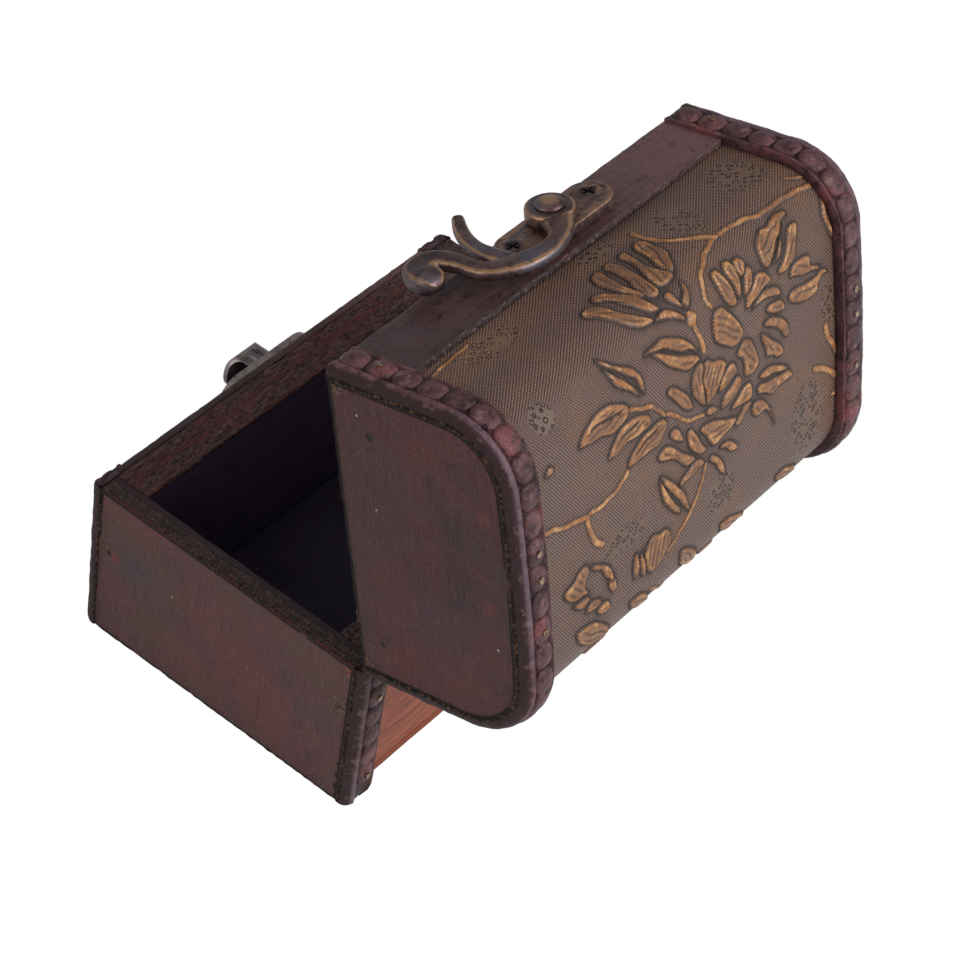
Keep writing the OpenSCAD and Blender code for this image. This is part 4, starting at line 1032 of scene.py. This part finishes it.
def oval(place, ahead, aside, outward, half_way, half_across, low, high):
    """Rings of an oval bead that stands on a trim, its top a little flattened."""
    rings = []
    for width, rise in ((1.0, 0.0), (1.0, 0.30), (0.97, 0.48), (0.90, 0.66), (0.78, 0.81), (0.60, 0.92),
                        (0.36, 0.98), (0.12, 1.0)):
        ring = []
        for step in range(oval_corners):
            across, along = squared(2 * math.pi * step / oval_corners, 0.8)
            ring.append(place + aside * (across * half_across * width) + ahead * (along * half_way * width)
                        + outward * (low + (high - low) * rise))
        rings.append(ring)
    return rings


def outward_at(over, way):
    """A place on a way in the plane of the ends, and the direction straight out of it."""
    middle, nose = over(way, 0.0), over(way, 0.001)
    return middle, Vector((0.0, nose.x - middle.x, nose.y - middle.y)).normalized()


def trim(name, side, over, length, beads, way_up):
    """A trim laid along a way: over(way, out) gives a point in the plane of the ends."""
    count = int(length / trim_cell)
    rings = []
    for step in range(count + 1):
        way = length * step / count
        ring = []
        blunt = min(1.0, min(way, length - way) / 0.0008)
        blunt = 0.80 + 0.20 * math.sqrt(1 - (1 - blunt) ** 2)
        foot = 0.0
        if length - way < foot_round / 1000 and length < 0.04:
            foot = foot_round - math.sqrt(foot_round ** 2 - (foot_round - (length - way) * 1000) ** 2)
        for x, out, *_ in section:
            x, out = max(x, section[0][0] + foot * 0.98), out * blunt
            wave = noise.noise((way * 260, x * 0.35, side * 4.0)) * 0.00012
            nick = noise.noise((way * 1500, x * 2.1, side * 9.0)) * 0.00005
            swell = wave + nick if out > 0.5 else 0.0
            place = over(way, out / 1000 + swell)
            aside = swell * 0.8 if 42.2 < x < 48.9 else 0.0
            ring.append(mitred((side * (x / 1000 + aside), place.x, place.y), way_up))
        rings.append(ring)
    parts = [loft(name, rings, high=[[spot[2] for spot in section]] * len(rings),
                  band=[[spot[3] for spot in section]] * len(rings))]
    for number in range(beads):
        way = first_bead + bead_pitch * number
        middle, outward = outward_at(over, way)
        ahead = over(way + 0.0002, 0.0) - over(way - 0.0002, 0.0)
        ahead = Vector((0.0, ahead.x, ahead.y)).normalized()
        centre = Vector((side * bead_middle, middle.x, middle.y))
        stir = noise.noise((number * 1.7, side * 3.0, length * 90))
        rings = oval(centre + ahead * stir * 0.0002, ahead, Vector((side, 0, 0)), outward,
                     0.00262 + 0.00010 * stir, 0.00216 + 0.00012 * noise.noise((number * 2.3, side, 5.0)),
                     0.0015, 0.00284 + 0.00008 * stir)
        if way_up:
            rings = [[Vector(mitred(point, way_up)) for point in ring] for ring in rings]
        parts.append(loft(name + "_bead", rings,
                          high=[[high] * oval_corners for high in (0.1, 0.4, 0.6, 0.85, 1, 1, 1, 1)],
                          band=[[0.0] * oval_corners] * len(rings)))
    return joined(name, parts)


def lid_way(way, out):
    return lid_point(way, out, trim_lift)


def base_way(toward):
    """The way down the base's front, -1, or its back, 1."""
    return lambda way, out: Vector((toward * (half_depth + out), base_height - way))


# The trims: body, name, side, way, its length, number of beads, and the side of the hinge axis their mitre is on
runs = []
for side, label in ((1, "right"), (-1, "left")):
    runs += [("lid", "lid_trim_" + label, side, lid_way, sum(lid_stretches(trim_lift)), 23, 1),
             ("base", "base_trim_front_" + label, side, base_way(-1), base_height, 6, 0),
             ("base", "base_trim_back_" + label, side, base_way(1), base_height, 6, -1)]
for body, name, side, over, length, beads, way_up in runs:
    piece = trim(name + "_beaded", side, over, length, beads, way_up)
    finished(piece, body, trim_wood, [name], on_lid=body == "lid", angle=50)

# Small brass nails, gone brown, hold the trims. They keep the construction's shape.
nail_metal = Finish("brass_nails", roughness=0.34, metallic=1.0)
nail_spots = nail_metal.grains(1600.0, 3.0, 0.6)
nail_metal.wear(Base_Color=nail_metal.blend((84, 64, 50), (178, 156, 130), nail_spots.between(0.36, 0.58)),
                Roughness=0.28 + nail_spots * 0.3)
for name in ("lid_trim_nails", "base_trim_nails"):
    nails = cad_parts[name].data.materials
    nails.clear()
    nails.append(nail_metal.material)

# Glue seams: brown glue squeezed out between the end panels and the trims,
# wiped off unevenly, in a thin crumbly line, mostly near black as a painted shade of the crack along the trim.
glue = Finish("glue_and_crack_shade", roughness=0.7, specular=0.15)
glue_crumbs = glue.grains(1500.0, 4.0, 0.7)
# Near black: painted shade of the crack beside the trim; the brown crumbs are glue
glue.wear(Base_Color=glue.blend((13, 8, 8), (98, 66, 46), glue_crumbs.between(0.49, 0.64)),
          Roughness=0.45 + glue_crumbs * 0.35, Normal=glue.bumped(glue_crumbs, 0.0002, 0.8))
seam_cell = 0.0004
seam_gaps = {"lid": 0.0006, "base": 0.0003}      # how far a seam ends short of its trim's end


def seam(name, side, over, length):
    """A thin irregular cord of glue along the outer edge where a trim meets an end panel."""
    rings = []
    count = int(length / seam_cell)
    for step in range(count + 1):
        way = length * step / count
        middle, outward = outward_at(over, way)
        thick = 0.00040 + 0.00014 * noise.noise((way * 420, side * 5, 1.0))
        thick += 0.00010 * noise.noise((way * 2400, side * 5, 2.0))
        shift = 0.00016 * noise.noise((way * 300, side * 2, 8.0)) - 0.0001
        centre = Vector((side * (half_length - 0.00016), middle.x, middle.y)) + outward * shift
        rings.append([centre + Vector((side * math.cos(turn) * thick, 0, 0)) + outward * math.sin(turn) * thick * 1.2
                      for turn in [2 * math.pi * corner / 8 for corner in range(8)]])
    return loft(name, rings)


for body, name, side, over, length, *_ in runs:
    cord = seam(name.replace("trim", "seam"), side, over, length - seam_gaps[body])
    finished(cord, body, glue, on_lid=body == "lid")

# Metal fittings: cast zinc plated an antique bronze, dark in the hollows and
# rubbed to dull gold along the ridges; the hinges and their screws are brass.
latch_top, keeper_top = 2.4, 1.8      # how far the plates and their screws stand out of the rail, in millimetres
latch_screws = (-2.8 - 10.25, 41.9), (-2.8 + 10.25, 41.9)
keeper_screws = (1.5 - 8.75, 30.4), (1.5 + 8.75, 30.4)
screw_reach = 1.6        # radius of a screw's slotted part
slot_floor, slot_wall = -1.5, -0.85   # wear below nothing: how near black the cross slots are, floors darker than walls


def metal(name, dark, brown, gold, patch, roughness=0.36):
    """Clouded metal with dark pits, brighter where its edges are noted as worn, near black where the wear is noted
    below nothing.
    """
    plated = Finish(name, roughness, metallic=0.80)
    broad = plated.grains(160.0, 5.0, 0.65, 0.6)
    fine = plated.grains(760.0, 4.0, 0.65)
    drift = plated.grains(95.0, 3.0, 0.5, 0.3, of=plated.mapped(shift=(0.3, 0.1, 0.2)))
    worn = plated.painted("worn")
    colour = plated.coats(
        plated.blend(dark, brown, (broad * 0.7 + fine * 0.3).between(0.34, 0.64)),
        (patch, drift.between(0.48, 0.64) * 0.6),
        (gold, (worn * 0.60 + fine * 0.6 + broad * 0.6).between(0.72, 1.30) * 0.85),
        ((20, 14, 13), (1 - fine.between(0.30, 0.44)) * 0.6),
        # Near black where the wear is noted below nothing: the screws' cross slots, floors darker than walls
        ((3.2946, 3.2946, 3.2946), 1 - worn.between(-1.2, -0.3)))
    return plated.wear(Base_Color=colour, Roughness=roughness + fine * 0.28 - worn * 0.10,
                       Normal=plated.bumped(fine * 0.7 + broad, 0.00026, 0.6))


bronze = metal("antique_bronze", (64, 50, 51), (110, 87, 85), (172, 134, 104), (104, 104, 116))
keeper_metal = metal("keeper_bronze", (76, 68, 72), (124, 112, 114), (178, 166, 160), (134, 134, 144), 0.32)
hinge_brass = metal("hinge_brass", (104, 80, 50), (158, 126, 80), (220, 190, 130), (112, 104, 90), 0.34)


def note_wear(piece):
    """Notes the sharp outer edges of a piece, where its plating is rubbed through."""
    mesh = piece.data
    faces = {}
    for face in mesh.polygons:
        for key in face.edge_keys:
            faces.setdefault(key, []).append(face)
    worn = [0.0] * len(mesh.vertices)
    for (first, second), pair in faces.items():
        if len(pair) == 2:
            bend = pair[0].normal.angle(pair[1].normal, 0.0)
            outer = (pair[1].center - pair[0].center).dot(pair[0].normal) < 0
            if outer and bend > 0.2:
                for point in (first, second):
                    worn[point] = max(worn[point], min(1.0, bend / 0.6))
    note_on_points(piece, "worn", worn)


def eased(name, node, width):
    """A copy of a CAD solid with its sharp edges eased, as casting and tumbling leave them."""
    nothing_selected()
    piece = bpy.data.objects.new(name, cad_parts[node].data.copy())
    bpy.context.collection.objects.link(piece)
    piece.select_set(True)
    bpy.context.view_layer.objects.active = piece
    piece = lone(name)
    bpy.ops.object.mode_set(mode="EDIT")
    bpy.ops.mesh.select_all(action="SELECT")
    bpy.ops.mesh.remove_doubles(threshold=1e-7)
    bpy.ops.mesh.dissolve_limited(angle_limit=math.radians(0.5))
    bpy.ops.object.mode_set(mode="OBJECT")
    ease = piece.modifiers.new("ease", "BEVEL")
    ease.width = width
    ease.segments = 2
    ease.limit_method = "ANGLE"
    ease.angle_limit = math.radians(32)
    bpy.ops.object.modifier_apply(modifier="ease")
    note_wear(piece)
    return piece


def metal_piece(name, node, body, finish, width, marked=None):
    """An eased metal piece. Marked gives a fixed wear, or none, at x, out from the rail and height in millimetres."""
    piece = eased(name, node, width)
    if marked:
        back = swing.inverted() if body == "lid" else Matrix.Identity(4)
        for number, point in enumerate(piece.data.vertices):
            place = back @ point.co * 1000
            mark = marked(place.x, -rail_face * 1000 - place.y, place.z)
            if mark is not None:
                piece.data.attributes["worn"].data[number].value = mark
    finished(piece, body, finish, [node], angle=40)


def slotted(top, screws):
    """Marks the floors and walls of cross slots, coloured near black, in heads whose tops stand that far out."""
    def mark(x, out, z):
        near = min(math.hypot(x - screw_x, z - screw_z) for screw_x, screw_z in screws)
        return (slot_floor if out < top - 0.3 else slot_wall) if near < screw_reach else None
    return mark


metal_piece("latch_plate_cast", "latch_plate", "lid", bronze, 0.00035,
            lambda x, out, z: 0.15 if out < latch_top - 0.2 else None)
metal_piece("latch_screws_cast", "latch_screws", "lid", bronze, 0.00006,
            slotted(latch_top, latch_screws))
metal_piece("keeper_plate_cast", "keeper_plate", "base", keeper_metal, 0.0003)
metal_piece("keeper_screws_cast", "keeper_screws", "base", bronze, 0.00006,
            slotted(keeper_top, keeper_screws))
for name, node, body, width in (
        ("base_leaf_right_stamped", "base_hinge_leaf_right", "base", 0.0001),
        ("lid_leaf_right_stamped", "lid_hinge_leaf_right", "lid", 0.0001),
        ("hinge_pin_right_headed", "hinge_pin_right", "base", 0.0001),
        ("base_leaf_left_stamped", "base_hinge_leaf_left", "base", 0.0001),
        ("lid_leaf_left_stamped", "lid_hinge_leaf_left", "lid", 0.0001),
        ("hinge_pin_left_headed", "hinge_pin_left", "base", 0.0001),
        ("base_hinge_screws_round", "base_hinge_screws", "base", 0.00018),
        ("lid_hinge_screws_round", "lid_hinge_screws", "lid", 0.00018)):
    metal_piece(name, node, body, hinge_brass, width)

# The swing hook is cast in one: a flat head on the rivet, an arching arm that
# curls into a round finger end, and a thin horn that drops into the keeper.
pivot_x, pivot_z = -0.0028, lid_rim + 0.0054


def on_hook(x, y, out):
    """A point of the hook: x right and y up from the rivet, out from the rail, in millimetres."""
    return Vector((pivot_x + x / 1000, -rail_face - out / 1000, pivot_z + y / 1000))


def rod(name, line, thick, swell=0.0):
    """A cast arm along a curved line of x, y and half width, rounded across, its end rounded off.
    Swell is how much thicker it grows toward its end."""
    path = curved(line, steps=6)
    last = len(path) - 1
    rings, rubbed_spots = [], []
    ends = [(number, 0.0) for number in range(len(path))]
    ends += [(last, math.pi / 2 * step / 6) for step in range(1, 6)]
    for number, fall in ends:
        before, after = path[max(number - 1, 0)], path[min(number + 1, last)]
        ahead = Vector((after[0] - before[0], after[1] - before[1])).normalized()
        x, y, half = path[number]
        x, y = x + ahead.x * math.sin(fall) * half * 0.98, y + ahead.y * math.sin(fall) * half * 0.98
        width, height = half * math.cos(fall), min(thick, half * 1.05) * max(math.cos(fall), 0.05)
        height *= 1 + swell * max(0.0, number / last - 0.6)
        ring, rubs = [], []
        for turn in [2 * math.pi * corner / 32 for corner in range(32)]:
            ridge = (abs(math.cos(turn)) - abs(math.sin(turn))) / 0.38
            rubs.append((1.5 if math.cos(turn) > 0 else 0.8) * math.exp(-ridge * ridge) if math.sin(turn) > 0 else 0.0)
            across, out = squared(turn, 0.72)
            ring.append(on_hook(x - ahead.y * across * width, y + ahead.x * across * width, 3.75 + out * height))
        rings.append(ring)
        rubbed_spots.append(rubs)
    return loft(name, rings, worn=rubbed_spots)


def turned(name, corners, profile, **marks):
    """A round piece about the rivet, from the reach and the height of each of its rings."""
    turns = [2 * math.pi * corner / corners for corner in range(corners)]
    return loft(name, [[on_hook(reach * math.cos(turn), reach * math.sin(turn), out) for turn in turns]
                       for reach, out in profile], **marks)


curl_turns = [math.radians(180 + 185 * step / 7) for step in range(1, 8)]
curl_line = [(24.4 + 3.15 * math.cos(turn), -4.1 + 3.15 * math.sin(turn), 2.1 + 0.13 * (step + 1))
             for step, turn in enumerate(curl_turns)]
arm = rod("latch_hook_arm", [(0, 0, 3.6), (1.9, 2.9, 3.1), (5.4, 6.2, 1.95), (10.4, 7.3, 1.95), (15.4, 5.9, 2.4),
                             (19.7, 3.2, 2.1), (20.8, 0.6, 1.9), (20.9, -2.2, 1.9)] + curl_line, 1.2, swell=1.7)
horn = rod("latch_hook_horn", [(15.7, 4.6, 1.9), (16.1, 0.1, 1.8), (15.8, -3, 1.5), (14.6, -6.1, 1.4),
                               (12.8, -8.8, 1.3), (10.6, -11.2, 1.1)], 0.95)
head = turned("latch_hook_head", 48, ((3.9, 2.55), (4.25, 2.65), (4.4, 2.95), (4.4, 4.3), (4.3, 4.7), (4.0, 4.92),
                                      (3.6, 4.97), (3.2, 4.95)))
note_wear(head)
hook = joined("latch_hook_cast", [arm, horn, head])
finished(hook, "hook", bronze, ["latch_hook"], on_lid=True, angle=60)

# The domed rivet it turns on, rubbed bright on top.
rivet = turned("latch_rivet_domed", 40, (
    (1.45, -2.9), (1.45, 5.03), (2.45, 5.06), (2.6, 5.2), (2.55, 5.42), (2.3, 5.62), (1.9, 5.84), (1.4, 6.03),
    (0.9, 6.15), (0.4, 6.2), (0.12, 6.21)),
    worn=[[rub] * 40 for rub in (0, 0, 0, 0.5, 0.2, 0.2, 0.3, 0.7, 1.2, 1.5, 1.6)])
finished(rivet, "lid", bronze, ["latch_rivet"], on_lid=True, angle=50)
